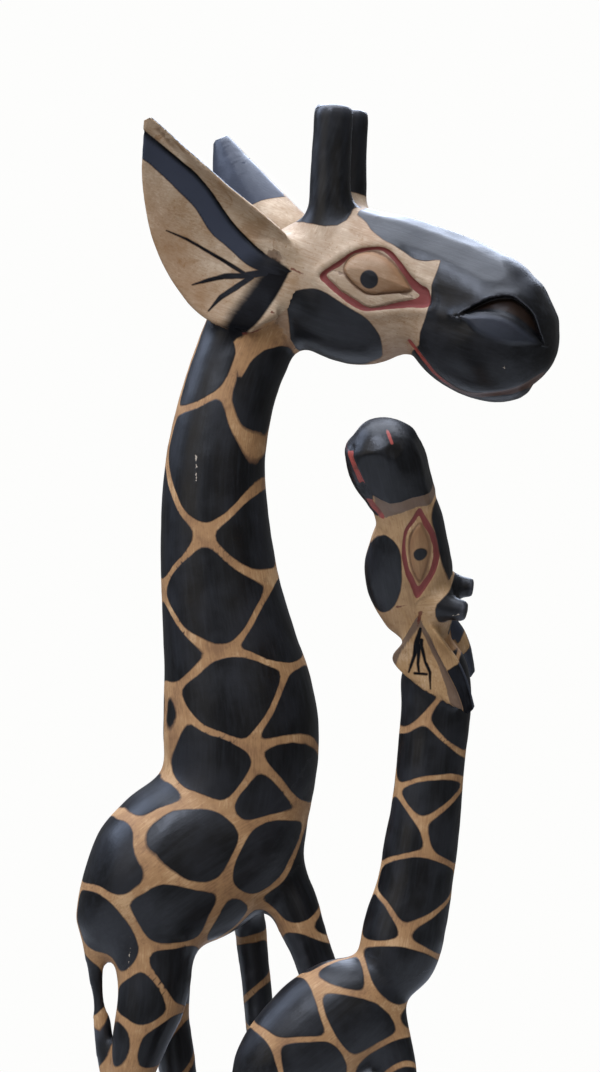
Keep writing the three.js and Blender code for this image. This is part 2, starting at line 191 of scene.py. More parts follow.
# A limb's stop holds x, y, z, the half depth in profile and the half width across. An ear's stop
# holds the place along, the lower and upper edges, the hollow's depth and the thickness. A leg is
# its upper stops, its place across, its shin and that shin's places along x, and a shin's stop
# holds z and the two half girths. A painted spot holds x, y, z and how far it spreads.
giraffe = {
    "neckPale": [
        (-10, 846), (-8.3, 836.4), (-3.3, 823.5), (-1.2, 810.5), (-0.5, 797), (3.9, 803.7), (8.9, 812.5),
        (17.6, 819.5), (30.6, 823.5), (40, 823), (62, 832), (62, 905), (-10, 905),
    ],
    "neckPaleFrom": 760, "midPlane": 55, "voxel": 3.3, "fillet": 22, "hoof": 22, "halfLine": 2.4,
    "corner": 3.0, "headClear": 35, "headEdge": 5, "legSpotsTo": 318,
    "neck": {"domes": (0.08, 0.13), "stops": [
        (-4, 0, 462, 46, 42), (2, 0, 490, 53, 47), (6.5, 0, 520, 56, 48.5), (7, 0, 548, 57, 48),
        (3.5, 0, 580, 53.5, 45.5), (-2, 0, 612, 48.3, 42), (-8, 0, 648, 43.5, 39), (-12, 0, 690, 40, 36.5),
        (-12.5, 0, 735, 36.5, 34), (-6.3, 0, 775, 34.3, 31.5), (3.5, 0, 808, 33.8, 29.5),
        (17, 0, 838, 35, 28.5), (31, 0, 866, 36, 28), (44, 0, 892, 30, 25),
    ]},
    "body": {"domes": (0.3, 0.3), "squareness": 2.2, "stops": [
        (52, 0, 500, 44, 41), (25, 0, 487, 50, 46), (-2, 0, 474, 57, 49.5), (-28, 0, 459, 61.5, 51),
        (-53, 0, 442, 57, 51), (-77, 0, 422, 47, 46), (-106, 0, 396, 39, 37),
    ]},
    "head": {
        "at": (38.5, 55, 876), "nose": (0.816, -0.471, -0.335), "crown": (0.255, -0.227, 0.94),
        "domes": (0.2, 0.14), "squareness": 2.25,
        "stops": [
            (-36, 0, -2, 27, 30), (-12, 0, 0, 35, 35), (12, 0, 4, 43.5, 40), (36, 0, 6.5, 52, 43),
            (60, 0, 10.5, 55.5, 42), (84, 0, 18.3, 49.7, 38.5), (104, 0, 21.5, 45.5, 35.5),
            (122, 0, 20.5, 45.5, 37), (142, 0, 14.5, 49.5, 41.5), (162, 0, 9, 48.5, 43),
            (182, 0, 7.5, 43, 39), (198, 0, 8, 31, 29), (209, 0, 8, 22, 21),
        ],
    },
    "ear": {
        "fold": 0.72, "root": (-5.4, -45.5, -18.5), "tip": (-111, -70.5, 80), "rim": (0.6, 0.05, 0.8),
        "stops": [
            (-20, -14, 20, 3, 18), (-4, -31, 42, 8, 15), (12, -38.5, 50, 14, 11.5),
            (30, -41.5, 44.5, 17, 9.5), (50, -42, 37, 18, 9), (70, -38.7, 29, 17, 8.5),
            (92, -31.5, 21.5, 14.5, 8), (112, -22, 14.7, 11, 7.5), (130, -10, 9, 6.5, 7),
            (143, -0.7, 4.5, 1.5, 6),
        ],
    },
    "otherEar": {"side": 1, "tip": (-106.5, -70.5, 83), "backFrom": 73, "end": [
        (92, -31.5, 20.5, 14.5, 8), (112, -23, 13.2, 11, 8), (130, -14.5, 6.8, 6.5, 7.5),
        (142, -9, 2, 2.5, 7),
    ]},
    "horn": {"stops": [
        (30, -17, 30, 24, 20), (25, -17.5, 54, 17.5, 17), (18, -17.7, 77, 14.8, 14.8),
        (11, -17.8, 101, 14.5, 14.5), (4, -17.6, 127, 14.4, 14.4),
    ]},
    "shins": {
        "hind": [
            (240, 14, 13), (206, 14.5, 13), (160, 11.5, 11), (114, 10.5, 10.5), (70, 12, 11.5),
            (36, 15, 13), (16, 17, 14),
        ],
        "fore": [
            (208, 12.5, 12), (160, 10.5, 10.5), (110, 10.5, 10.5), (66, 12, 11.5), (34, 15, 13),
            (16, 17, 14),
        ],
    },
    "legs": {
        "nearHind": ([
            (-54, -9, 450, 36, 28), (-58, -19, 404, 31, 24), (-62, -24, 363, 25.5, 20.5),
            (-69.5, -26, 336, 20.5, 17.5), (-76, -26, 310, 15.5, 15), (-83, -26, 276, 14, 13.5),
        ], -26, "hind", (-90, -94, -94, -92, -90, -85, -83)),
        "farHind": ([
            (-54, 9, 450, 36, 28), (-52, 19, 404, 28, 23), (-44, 24, 361, 18, 17.5),
            (-40.5, 26, 336, 13.8, 14), (-36.6, 26, 308, 14, 14), (-33, 26, 276, 14, 13.5),
        ], 26, "hind", (-31, -33, -33, -30, -28, -23, -21)),
        "nearFore": ([
            (18, -10, 470, 28, 22), (36, -18, 434, 21, 17), (50, -25, 400, 15.5, 15),
            (61, -26, 368, 14.5, 14), (72, -26, 330, 14, 13), (82, -26, 290, 14, 13),
            (90, -26, 248, 14.5, 13.5),
        ], -26, "fore", (94, 96, 97, 98, 103, 105)),
        "farFore": ([
            (4, 10, 472, 26, 22), (13, 19, 433, 16, 16), (18.5, 25, 396, 12, 13), (22.5, 25, 362, 11, 12),
            (26, 25, 325, 11, 11.5), (30, 26, 286, 12, 12), (34, 26, 248, 14, 13),
        ], 26, "fore", (36, 37, 38, 39, 44, 46)),
    },
    "tail": {"domes": (0.05, 0.12), "stops": [
        (-88, 0, 428, 14, 13), (-101, -2, 402, 10, 10), (-99.5, -4, 378, 7.5, 7.5), (-96, -6, 350, 7, 7),
        (-92, -8, 320, 7, 7), (-88, -10, 290, 6.5, 6.5), (-86, -11, 262, 6, 6),
    ]},
    "spots": [
        (-31.6, 6.3, 750.5, 132.6), (-17.5, -6.9, 746.3, 721.4), (-28.8, 5.1, 742.1, 796),
        (-50, 67.1, 697.4, 270), (19.5, -6.5, 689.9, 376), (-14, 27.6, 641.3, -207),
        (-15.1, 60.6, 612.9, 501), (12.6, 32, 621.3, -610), (-1.2, 23.8, 571.1, -108),
        (26.1, 36.9, 553.8, 92), (-82.4, 33.6, 545.1, 449), (-16.5, 37.6, 523.6, 337),
        (5.5, 30.3, 506.1, -326), (34.3, 22.4, 535.2, -495), (-37.9, 48.2, 490.8, 247),
        (-56.6, 45.9, 449.7, 598), (-39.2, -13.1, 480.4, 511), (28.7, -3.8, 452.3, 307),
        (-101.6, 27.4, 395.9, 234), (-49.4, 24.7, 426.6, 46), (0.1, 13.6, 402.6, -150),
        (-49.9, 26.6, 378.8, 32), (-74.4, 18.8, 361.9, 110), (-77.4, 54.4, 334.1, 146),
        (-60.4, 25.5, 336.9, 66), (-65.9, 51.5, 326.2, 275), (-107.2, 49, 370.3, 251),
        (-94.7, 15.2, 341.6, 80), (13.3, 78.5, 408.4, -124), (17.2, 81.4, 375.9, 46),
        (45, 73.2, 344.4, 430), (41, 16.3, 435.5, 62), (55.3, 18.3, 412.2, -446), (39.3, 22.3, 387.1, 79),
        (-73.3, 60.2, 393.8, 727),
    ],
}

calf = {
    "midPlane": -62, "voxel": 2.1, "fillet": 24, "hoof": 15, "halfLine": 1.9, "corner": 2.6,
    "headClear": 20, "headEdge": 3, "legSpotsTo": 292,
    "neck": {"domes": (0.16, 0.16), "stops": [
        (82, 0, 372, 23, 24), (92, 0, 398, 28, 27), (98.5, 0, 424, 28, 26), (105, 0, 450, 25.5, 24.5),
        (109.5, 0, 478, 25, 24), (113.5, 0, 506, 23.8, 23), (117, 0, 540, 23.3, 22.5),
        (120, 0, 572, 24, 22.5), (118.5, 0, 600, 23.5, 22), (112, 0, 628, 20, 20),
    ]},
    "body": {"domes": (0.3, 0.3), "stops": [
        (96, 0, 392, 28, 25), (78, 0, 380, 33, 30), (60, 0, 367, 39, 33), (42, 0, 354, 40.5, 34),
        (26, 0, 342, 38, 33.5), (11, 0, 330, 34, 31), (-3, 0, 318, 30, 28), (-15, 0, 307, 25, 25),
    ]},
    "head": {
        "at": (106, -62, 626), "nose": (-0.289, -0.371, 0.883), "crown": (0.873, -0.481, 0.083),
        "domes": (0.14, 0.13), "squareness": 2.2,
        "stops": [
            (-16, 0, 4, 19, 19), (2, 0, 5.6, 22.9, 22), (18, 0, 4.4, 26.7, 24), (34, 0, 2.8, 29.2, 25),
            (48, 0, 4, 29.5, 25), (62, 0, 7, 26.8, 24), (78, 0, 10.5, 22.8, 21.5), (92, 0, 10, 21.3, 20),
            (106, 0, 8, 22, 20.5), (120, 0, 5, 24.8, 22), (134, 0, 3.3, 24.3, 22.3),
            (146, 0, 4.9, 21.5, 20.3), (155.5, 0, 6, 18.3, 17.5),
        ],
    },
    "ear": {
        "fold": 0.75, "root": (7, -24.5, 1), "tip": (-47, -38, 34), "rim": (0.4, 0, 0.9),
        "stops": [
            (-8, 8, 18.5, 1, 9), (0, -6, 18.5, 3, 9), (6, -19.5, 18.5, 5, 8.5), (20, -19.8, 18, 6, 8.5),
            (32, -15.8, 17.5, 5.5, 8.5), (44, -10, 14.5, 4, 8), (56, -4.5, 9.5, 2.5, 8),
            (65, 0.5, 5, 1, 7),
        ],
    },
    "otherEar": {"side": -1, "root": (1, -24.5, -3), "tip": (-62, -32, 22), "backFrom": 44},
    "horn": {"stops": [
        (27, -13, 14, 13, 12.5), (23, -14.5, 25, 10.5, 10.5), (20, -15.5, 33, 8, 8),
        (17.5, -16, 41, 7.4, 7.4),
    ]},
    "shins": {
        "hind": [
            (208, 11, 10.5), (172, 11, 10), (134, 9, 9), (98, 8.5, 8.5), (64, 9.2, 9.2), (34, 11.5, 10.5),
            (16, 13, 11.5),
        ],
        "fore": [(84, 8.5, 8.5), (56, 9.2, 9.2), (33, 11.5, 10.5), (16, 13, 11.5)],
    },
    "legs": {
        "nearHind": ([
            (10, -6, 334, 27, 21), (4, -12, 302, 22.5, 17.5), (-4, -16, 270, 17, 14),
            (-12, -17, 240, 13, 12),
        ], -17, "hind", (-20, -25, -25, -23, -21, -17, -16)),
        "farHind": ([
            (12, 6, 334, 27, 21), (11, 12, 302, 21, 17), (14, 16, 270, 15, 13.5), (18, 17, 240, 12, 11.5),
        ], 17, "hind", (18, 13, 14, 17, 19, 23, 24)),
        "nearFore": ([
            (73, -7, 378, 22, 18), (84, -12, 347, 16, 14.5), (90, -16, 320, 12.5, 12.5),
            (92, -17, 290, 11.5, 11.5), (94, -17, 250, 10.8, 10.8), (97, -17, 208, 11, 10.8),
            (98, -17, 168, 9.2, 9.2), (98, -17, 124, 8.5, 8.5),
        ], -17, "fore", (98, 99, 103, 104)),
        "farFore": ([
            (59, 7, 372, 22, 18), (66, 13, 341, 14, 14), (69, 16, 312, 12, 12), (71, 17, 280, 11, 11),
            (72, 17, 240, 10.8, 10.8), (73, 17, 200, 11, 10.8), (73, 17, 160, 9.2, 9.2),
            (72, 17, 120, 8.5, 8.5),
        ], 17, "fore", (72, 73, 77, 78)),
    },
    "tail": {"domes": (0.05, 0.12), "stops": [
        (-10, 0, 322, 9, 9), (-24, 0, 306, 6.5, 6.5), (-29, -2, 282, 5.5, 5.5), (-30, -4, 256, 5, 5),
        (-29, -6, 230, 4.5, 4.5), (-28, -8, 206, 4, 4),
    ]},
    "spots": [
        (80.3, -77.6, 578.2, 343), (125.5, -79.8, 553.1, -132), (113.1, -75.2, 539.1, 76),
        (97.5, -67.7, 488.2, 80), (124.7, -80.1, 494.4, 111), (99.5, -85.3, 447.7, 358),
        (86.7, -77.4, 433.4, -74), (107.6, -80.6, 431.8, 54), (89.5, -79.8, 396.4, -16),
        (61.4, -79.4, 392, -461), (59.3, -72.2, 362.9, 124), (23, -68.2, 355.7, -8),
        (25.1, -68.3, 329.8, 638), (-31.8, -78.2, 319.8, 1557), (83.1, -95.2, 308.9, 431),
        (77.6, -65.7, 371.6, -272), (113.8, -85.4, 511.7, 69), (77.6, -80.5, 327.3, -3),
    ],
}

for animal in (giraffe, calf):
    for name, (upper, across, shin, run) in animal["legs"].items():
        animal["legs"][name] = upper + [(x, across, *stop) for x, stop in zip(run, animal["shins"][shin])]


# the place on a smooth curve at share u of the way from b to c
def between(a, b, c, d, u):
    bend, twist = a - 2.5 * b + 2 * c - d / 2, 1.5 * (b - c) + (d - a) / 2
    return b + u * (c - a) / 2 + u ** 2 * bend + u ** 3 * twist


def splineAt(stops, share):
    stops = np.array(stops, float)
    last = len(stops) - 1
    padded = np.vstack([2 * stops[0] - stops[1], stops, 2 * stops[-1] - stops[-2]])
    place = np.clip(share, 0, 1) * last
    index = np.minimum(place.astype(int), last - 1)
    return between(*(padded[index + k] for k in range(4)), (place - index)[:, None])


def smoothLine(corners, steps=6):
    return splineAt(corners, np.linspace(0, 1, steps * (len(corners) - 1) + 1))


def smoothLoop(corners, steps=6):
    corners = np.array(corners, float)
    a, b, c, d = (np.roll(corners, k, 0)[:, None] for k in (1, 0, -1, -2))
    return between(a, b, c, d, (np.arange(steps) / steps)[:, None]).reshape(-1, 2)


def unit(rows):
    return rows / np.maximum(np.linalg.norm(rows, axis=-1, keepdims=True), 1e-9)


def step(low, high, value):
    share = np.clip((value - low) / (high - low), 0, 1)
    return share * share * (3 - 2 * share)


# the share of the full girth along a limb whose ends close as domes
def domed(share, domes):
    girth = np.ones_like(share)
    for dome, rest in ((domes[0], share), (domes[1], 1 - share)):
        if dome > 0:
            girth = girth * np.sqrt(1 - (1 - np.minimum(1, rest / dome)) ** 2)
    return np.maximum(girth, 0.02)


# a frame is its origin and its three axes as rows
def standFrame(animal):
    return np.array((0, animal["midPlane"], 0), float), np.eye(3)


def headFrame(head):
    ahead = unit(np.array(head["nose"], float))
    left = unit(np.cross(np.array(head["crown"], float), ahead))
    return np.array(head["at"], float), np.array([ahead, left, np.cross(ahead, left)])


# the ear of a side: the other ear hangs differently, and can end in stops of its own
def earOf(animal, side):
    ear, other = animal["ear"], animal["otherEar"]
    if side != other["side"]:
        return ear
    end = other.get("end", [])
    return {**ear, **other, "stops": ear["stops"][:len(ear["stops"]) - len(end)] + end}


def earFrame(ear):
    along = unit(np.array(ear["tip"], float) - np.array(ear["root"], float))
    rim = np.array(ear["rim"], float)
    upward = unit(rim - rim.dot(along) * along)
    out = np.cross(along, upward)
    out = -out if out[1] > 0 else out
    return np.array(ear["root"], float), np.array([along, upward, out])


def outOf(frameAt, places):
    return places @ frameAt[1] + frameAt[0]


def into(frameAt, places):
    return (places - frameAt[0]) @ frameAt[1].T


def ballOf(around, rings):
    bm = bmesh.new()
    verts = bmesh.ops.create_uvsphere(bm, u_segments=around, v_segments=rings, radius=1)["verts"]
    ball = np.array([vert.co for vert in verts])
    even = np.arccos(np.clip(ball[:, 2], -1, 1)) / math.pi
    share = np.clip((even * rings - 1) / (rings - 2), 0, 1)
    reach = (np.hypot(ball[:, 0], ball[:, 1]) > 1e-5).astype(float)
    return bm, verts, share, np.arctan2(ball[:, 1], ball[:, 0]), reach


def addShape(whole, bm, verts, places):
    for vert, place in zip(verts, places):
        vert.co = place
    bmesh.ops.recalc_face_normals(bm, faces=bm.faces)
    mesh = bpy.data.meshes.new("shape")
    bm.to_mesh(mesh)
    bm.free()
    whole.from_mesh(mesh)
    bpy.data.meshes.remove(mesh)


def limbAxes(stops, share):
    spine = splineAt(stops, share)
    ahead = splineAt(stops, np.minimum(share + 1e-3, 1)) - splineAt(stops, np.maximum(share - 1e-3, 0))
    ahead = unit(ahead[:, :3])
    across = np.array((0.0, 1.0, 0.0))
    aside = unit(across - (ahead @ across)[:, None] * ahead)
    return spine, ahead, aside, np.cross(aside, ahead)


# a limb: rings round a smooth line
def limb(whole, limbSizes, placing, around=44, rings=72):
    stops = limbSizes["stops"]
    bm, verts, even, turn, reach = ballOf(around, rings)
    share = (1 - np.cos(math.pi * even)) / 4 + even / 2
    spine, ahead, aside, over = limbAxes(stops, share)
    girth = spine[:, 3:] * (reach * domed(share, limbSizes.get("domes", (0, 0))))[:, None]
    power = 2 / limbSizes.get("squareness", 2)
    deep, wide = (np.sign(c) * np.abs(c) ** power for c in (np.cos(turn), np.sin(turn)))
    places = spine[:, :3] + over * (girth[:, 0] * deep)[:, None] + aside * (girth[:, 1] * wide)[:, None]
    addShape(whole, bm, verts, placing(places))


# an ear: a hollow leaf whose deepest line runs nearer its upper rim
def earHollow(ear, share, across):
    sizes = splineAt(ear["stops"], share)
    part = (1 - across) / 2
    wall = np.where(part > ear["fold"], (1 - part) / (1 - ear["fold"]), part / ear["fold"])
    return sizes, part, sizes[:, 3] * (1 - (1 - wall) ** 2)


def leaf(whole, ear, placing, around=48, rings=60):
    bm, verts, share, turn, reach = ballOf(around, rings)
    sizes, part, hollow = earHollow(ear, share, np.cos(turn) * reach)
    places = np.stack([
        sizes[:, 0],
        sizes[:, 1] + (sizes[:, 2] - sizes[:, 1]) * part,
        np.sign(np.sin(turn)) * np.abs(np.sin(turn)) ** 0.45 * reach * sizes[:, 4] / 2 - hollow,
    ], 1)
    addShape(whole, bm, verts, placing(places))


def meshArrays(mesh):
    rows = []
    for data, field, width, kind in (
        (mesh.vertices, "co", 3, np.float32),
        (mesh.edges, "vertices", 2, np.int32),
        (mesh.vertex_normals, "vector", 3, np.float32),
    ):
        values = np.empty(len(data) * width, kind)
        data.foreach_get(field, values)
        rows.append(values.reshape(-1, width))
    return rows[0].astype(float), rows[1], rows[2].astype(float)


def setPlaces(mesh, places):
    mesh.vertices.foreach_set("co", places.astype(np.float32).ravel())
    mesh.update()


# the mean of each vertex's neighbours
def neighbourMean(values, edges):
    count = len(values)
    a, b = edges.T
    degree = np.maximum(np.bincount(edges.ravel(), minlength=count), 1)[:, None]
    return np.stack([
        np.bincount(a, column[b], count) + np.bincount(b, column[a], count) for column in values.T
    ], 1) / degree


# each vertex moves towards the middle of its neighbours, as far as its weight says
def relax(values, edges, weight, rounds):
    for _ in range(rounds):
        values = values + (neighbourMean(values, edges) - values) * weight[:, None]
    return values


def evened(values, edges, weight, rounds):
    return relax(values[:, None], edges, np.full(len(values), weight), rounds)[:, 0]


# how near each place is to a limb's skin: under 1 inside it, with its place along the limb
def nearLimb(places, stops, samples=48):
    share = np.linspace(0, 1, samples)
    spine, ahead, aside, over = limbAxes(stops, share)
    best = np.full(len(places), 1e9)
    bestIndex = np.zeros(len(places), int)
    for i in range(samples):
        away = places - spine[i, :3]
        ratio = np.sqrt((away @ over[i] / spine[i, 3]) ** 2 + (away @ aside[i] / spine[i, 4]) ** 2
                        + (away @ ahead[i] / min(spine[i, 3], spine[i, 4])) ** 2)
        closer = ratio < best
        best[closer] = ratio[closer]
        bestIndex[closer] = i
    return best, share[bestIndex]


# each point's distance to a stretch of a line, and on which side of its run the point lies
def toStretch(points, start, end):
    (x0, y0), (dx, dy) = start, end - start
    across, up = points[:, 0] - x0, points[:, 1] - y0
    u = np.clip((across * dx + up * dy) / (dx * dx + dy * dy + 1e-9), 0, 1)
    return np.hypot(across - u * dx, up - u * dy), dx * up - dy * across


# distance from an outline, positive inside it
def polygonDistance(points, outline):
    outline = np.array(outline, float)
    nearest = np.full(len(points), 1e9)
    inside = np.zeros(len(points), bool)
    for start, end in zip(outline, np.roll(outline, -1, 0)):
        nearest = np.minimum(nearest, toStretch(points, start, end)[0])
        (x0, y0), (x1, y1) = start, end
        crosses = (y0 > points[:, 1]) != (y1 > points[:, 1])
        inside ^= crosses & (points[:, 0] < (x1 - x0) * (points[:, 1] - y0) / ((y1 - y0) or 1e-9) + x0)
    return np.where(inside, nearest, -nearest)


# distance from an open line, positive to the left of its run
def lineDistance(points, line):
    line = np.array(line, float)
    nearest = np.full(len(points), 1e9)
    side = np.ones(len(points))
    for start, end in zip(line[:-1], line[1:]):
        away, turn = toStretch(points, start, end)
        closer = away < nearest - 1e-6
        side[closer] = np.sign(turn[closer])
        nearest = np.minimum(nearest, away)
    return nearest * np.where(side == 0, 1, side)


# round-cornered patches between thin lines: how deep a place lies inside its patch
def spotDepth(places, spots, halfLine, corner, atOnce=20000):
    spots = np.array(spots, float)
    depth = np.empty(len(places))
    for start in range(0, len(places), atOnce):
        part = places[start:start + atOnce]
        rows = np.arange(len(part))
        score = ((part[:, None, :] - spots[None, :, :3]) ** 2).sum(2) - spots[None, :, 3]
        owner = score.argmin(1)
        apart = np.sqrt(((spots[owner][:, None, :3] - spots[None, :, :3]) ** 2).sum(2)) + 1e-6
        edge = (score - score[rows, owner][:, None]) / (2 * apart)
        edge[rows, owner] = 1e3
        near = edge.min(1)
        soft = near - corner * np.log(np.exp(-(edge - near[:, None]) / corner).sum(1))
        depth[start:start + atOnce] = soft - halfLine
    return depth


farSpots = {"beyond": 16, "shift": (7, 4, 9), "spread": 0.6}  # on the sides that face away
legSpots = {"from": 64, "apart": (20, 27), "turn": 0.6, "out": 0.9}


# the listed spots, with those of the far sides and of the legs in the same manner
def allSpots(animal, seed):
    random.seed(seed)
    middle = animal["midPlane"]
    dx, dy, dz = farSpots["shift"]
    spots = list(animal["spots"])
    for x, y, z, spread in animal["spots"]:
        if abs(y - middle) > farSpots["beyond"]:
            spots.append((x + random.uniform(-dx, dx), 2 * middle - y + random.uniform(-dy, dy),
                          z + random.uniform(-dz, dz), spread * farSpots["spread"]))
    for stops in animal["legs"].values():
        spine = splineAt(stops, np.linspace(0, 1, 120))
        foot, side = legSpots["from"], 1
        while foot < animal["legSpotsTo"]:
            x, y, z, deep, wide = spine[np.abs(spine[:, 2] - foot).argmin()]
            turn = random.uniform(-legSpots["turn"], legSpots["turn"]) + (0 if side > 0 else math.pi)
            spots.append((x + deep * legSpots["out"] * math.cos(turn),
                          y + middle + wide * legSpots["out"] * math.sin(turn), foot, 0))
            side = -side
            foot += random.uniform(*legSpots["apart"])
    return spots


def wobble(places, size, seed=0):
    offset = Vector((seed * 17.3, seed * 5.1, seed * 9.7))
    return np.array([noise.noise(Vector(place) / size + offset) for place in places])


def rawAnimal(animal):
    bm = bmesh.new()
    stand = standFrame(animal)
    face = headFrame(animal["head"])
    for name in ("neck", "body", "tail"):
        limb(bm, animal[name], lambda p: outOf(stand, p))
    for stops in animal["legs"].values():
        limb(bm, {"stops": stops, "domes": (0.06, 0)}, lambda p: outOf(stand, p), 32, 110)
    limb(bm, animal["head"], lambda p: outOf(face, p), 72, 100)
    for side in (-1, 1):
        flip = np.array((1, -side, 1))
        limb(bm, animal["horn"], lambda p: outOf(face, p * flip), 36, 50)
        lobe = earFrame(earOf(animal, side))
        leaf(bm, earOf(animal, side), lambda p: outOf(face, outOf(lobe, p) * flip))
    mesh = bpy.data.meshes.new("raw")
    bm.to_mesh(mesh)
    bm.free()
    return mesh


# one skin over all the limbs
def joinSkin(mesh, voxel):
    lump = addObject("lump", mesh)
    remesh = lump.modifiers.new("skin", "REMESH")
    remesh.mode = "VOXEL"
    remesh.voxel_size = voxel
    remesh.use_smooth_shade = True
    depsgraph = bpy.context.evaluated_depsgraph_get()
    made = bpy.data.meshes.new_from_object(lump.evaluated_get(depsgraph))
    bpy.data.objects.remove(lump)
    return made


# the leaf's sizes at places along an ear
def leafAt(ear, along):
    table = np.linspace(0, 1, 200)
    share = np.interp(along, splineAt(ear["stops"], table)[:, 0], table)
    return share, splineAt(ear["stops"], share)


# places in an ear's own frame, their lift off its middle sheet and their gap to its skin
def earPlaces(animal, h, side):
    ear = earOf(animal, side)
    e = into(earFrame(ear), h * np.array((1, -side, 1)))
    share, sizes = leafAt(ear, e[:, 0])
    part = (e[:, 1] - sizes[:, 1]) / np.maximum(sizes[:, 2] - sizes[:, 1], 1)
    lift = e[:, 2] + earHollow(ear, share, 1 - 2 * np.clip(part, 0, 1))[2]
    gap = np.maximum(np.abs(lift) - sizes[:, 4] / 2, (np.abs(part - 0.5) - 0.5) * (sizes[:, 2] - sizes[:, 1]))
    gap = np.maximum(gap, np.maximum(-19 - e[:, 0], e[:, 0] - ear["stops"][-1][0] - 2))
    return e, lift, gap


# moves places near an ear onto its smooth leaf, as far as the weights say
def snapToLeaf(animal, places, side, weight):
    chosen = weight > 0.01
    frameAt = headFrame(animal["head"])
    flip = np.array((1, -side, 1))
    ear = earOf(animal, side)
    lobe = earFrame(ear)
    e = into(lobe, into(frameAt, places[chosen]) * flip)
    last, farthest = ear["stops"][-1][0], e[:, 0].max()
    e[:, 0] += max(last - farthest, 0) * step(farthest - 30, farthest, e[:, 0])
    share, sizes = leafAt(ear, e[:, 0])
    half = np.maximum(sizes[:, 2] - sizes[:, 1], 0.6) / 2
    middle = (sizes[:, 2] + sizes[:, 1]) / 2
    across = (e[:, 1] - middle) / half
    lift = e[:, 2] + earHollow(ear, share, -np.clip(across, -1, 1))[2]
    high = lift / (sizes[:, 4] / 2)
    small, large = np.full(len(e), 0.2), np.full(len(e), 5.0)
    for _ in range(16):  # halving finds how far out the skin is
        scale = (small + large) / 2
        outside = (across * scale) ** 2 + np.abs(high * scale) ** 4.4 > 1
        large = np.where(outside, scale, large)
        small = np.where(outside, small, scale)
    e[:, 1] = middle + across * small * half
    e[:, 2] = lift * small - earHollow(ear, share, -np.clip(across * small, -1, 1))[2]
    moved = places.copy()
    snapped = outOf(frameAt, outOf(lobe, e) * flip)
    moved[chosen] += (snapped - places[chosen]) * weight[chosen, None]
    return moved


# the limbs given in the animal's standing frame
def standingLimbs(animal):
    return {**{name: animal[name]["stops"] for name in ("neck", "body", "tail")}, **animal["legs"]}


# which limb each place belongs to, and how close a second one is
def sortLimbs(animal, places):
    stand = into(standFrame(animal), places)
    h = into(headFrame(animal["head"]), places)
    ratio, along = {}, {}
    for name, stops in standingLimbs(animal).items():
        ratio[name], along[name] = nearLimb(stand, stops)
    ratio["head"], along["head"] = nearLimb(h, animal["head"]["stops"])
    for side, name in ((-1, "hornRight"), (1, "hornLeft")):
        ratio[name], along[name] = nearLimb(h * np.array((1, -side, 1)), animal["horn"]["stops"])
        ratio[name][h[:, 1] * side < 0] = 9
    clear = (ratio["hornRight"] > 1.35) & (ratio["hornLeft"] > 1.35)
    for side, name in sides:
        e, lift, gap = earPlaces(animal, h, side)
        ratio[name] = np.where(clear, 1 + np.clip(gap, -6, 90) / earScale, 9.0)
        along[name] = e[:, 0]
    table = np.stack(list(ratio.values()))
    order = table.argsort(0)
    owner = np.array(list(ratio))[order[0]]
    second = np.take_along_axis(table, order[1:2], 0)[0]
    return owner, second, ratio, along, h


knife = {"strength": 0.85, "deepest": 1.6, "blend": 90}


# how far the knife took the surface down to flat facets, in millimetres
def facets(places, normals, seeds):
    tree = kdtree.KDTree(len(places))
    for i, place in enumerate(places):
        tree.insert(place, i)
    tree.balance()
    anchors = [tree.find(seed)[1] for seed in seeds]
    points = places[anchors]
    flats = unit(normals[anchors])
    score = ((places[:, None, :] - points[None]) ** 2).sum(2)
    near = score.argsort(1)[:, :3]
    total = np.zeros(len(places))
    weights = np.zeros(len(places))
    for index in near.T:
        gap = ((points[index] - places) * flats[index]).sum(1)
        facing = np.clip((normals * flats[index]).sum(1), 0.4, 1)
        weight = np.exp(-(score[np.arange(len(places)), index] - score.min(1)) / knife["blend"])
        total += weight * np.clip(gap / facing, -knife["deepest"], knife["deepest"])
        weights += weight
    return knife["strength"] * total / weights


# faces whose corners are all chosen are split in four
def refine(mesh, chosen):
    bm = bmesh.new()
    bm.from_mesh(mesh)
    edges = [edge for edge in bm.edges if chosen[edge.verts[0].index] and chosen[edge.verts[1].index]]
    bmesh.ops.subdivide_edges(bm, edges=edges, cuts=1, use_grid_fill=True)
    bm.to_mesh(mesh)
    bm.free()


def cutSoles(mesh):
    bm = bmesh.new()
    bm.from_mesh(mesh)
    geom = bm.verts[:] + bm.edges[:] + bm.faces[:]
    bmesh.ops.bisect_plane(bm, geom=geom, dist=1e-3, plane_co=(0, 0, soleHeight), plane_no=(0, 0, -1),
                           clear_outer=True)
    rims = [edge for edge in bm.edges if edge.is_boundary]
    soles = bmesh.ops.holes_fill(bm, edges=rims, sides=0)["faces"]
    bmesh.ops.triangulate(bm, faces=soles)
    bmesh.ops.recalc_face_normals(bm, faces=bm.faces)
    bm.to_mesh(mesh)
    bm.free()


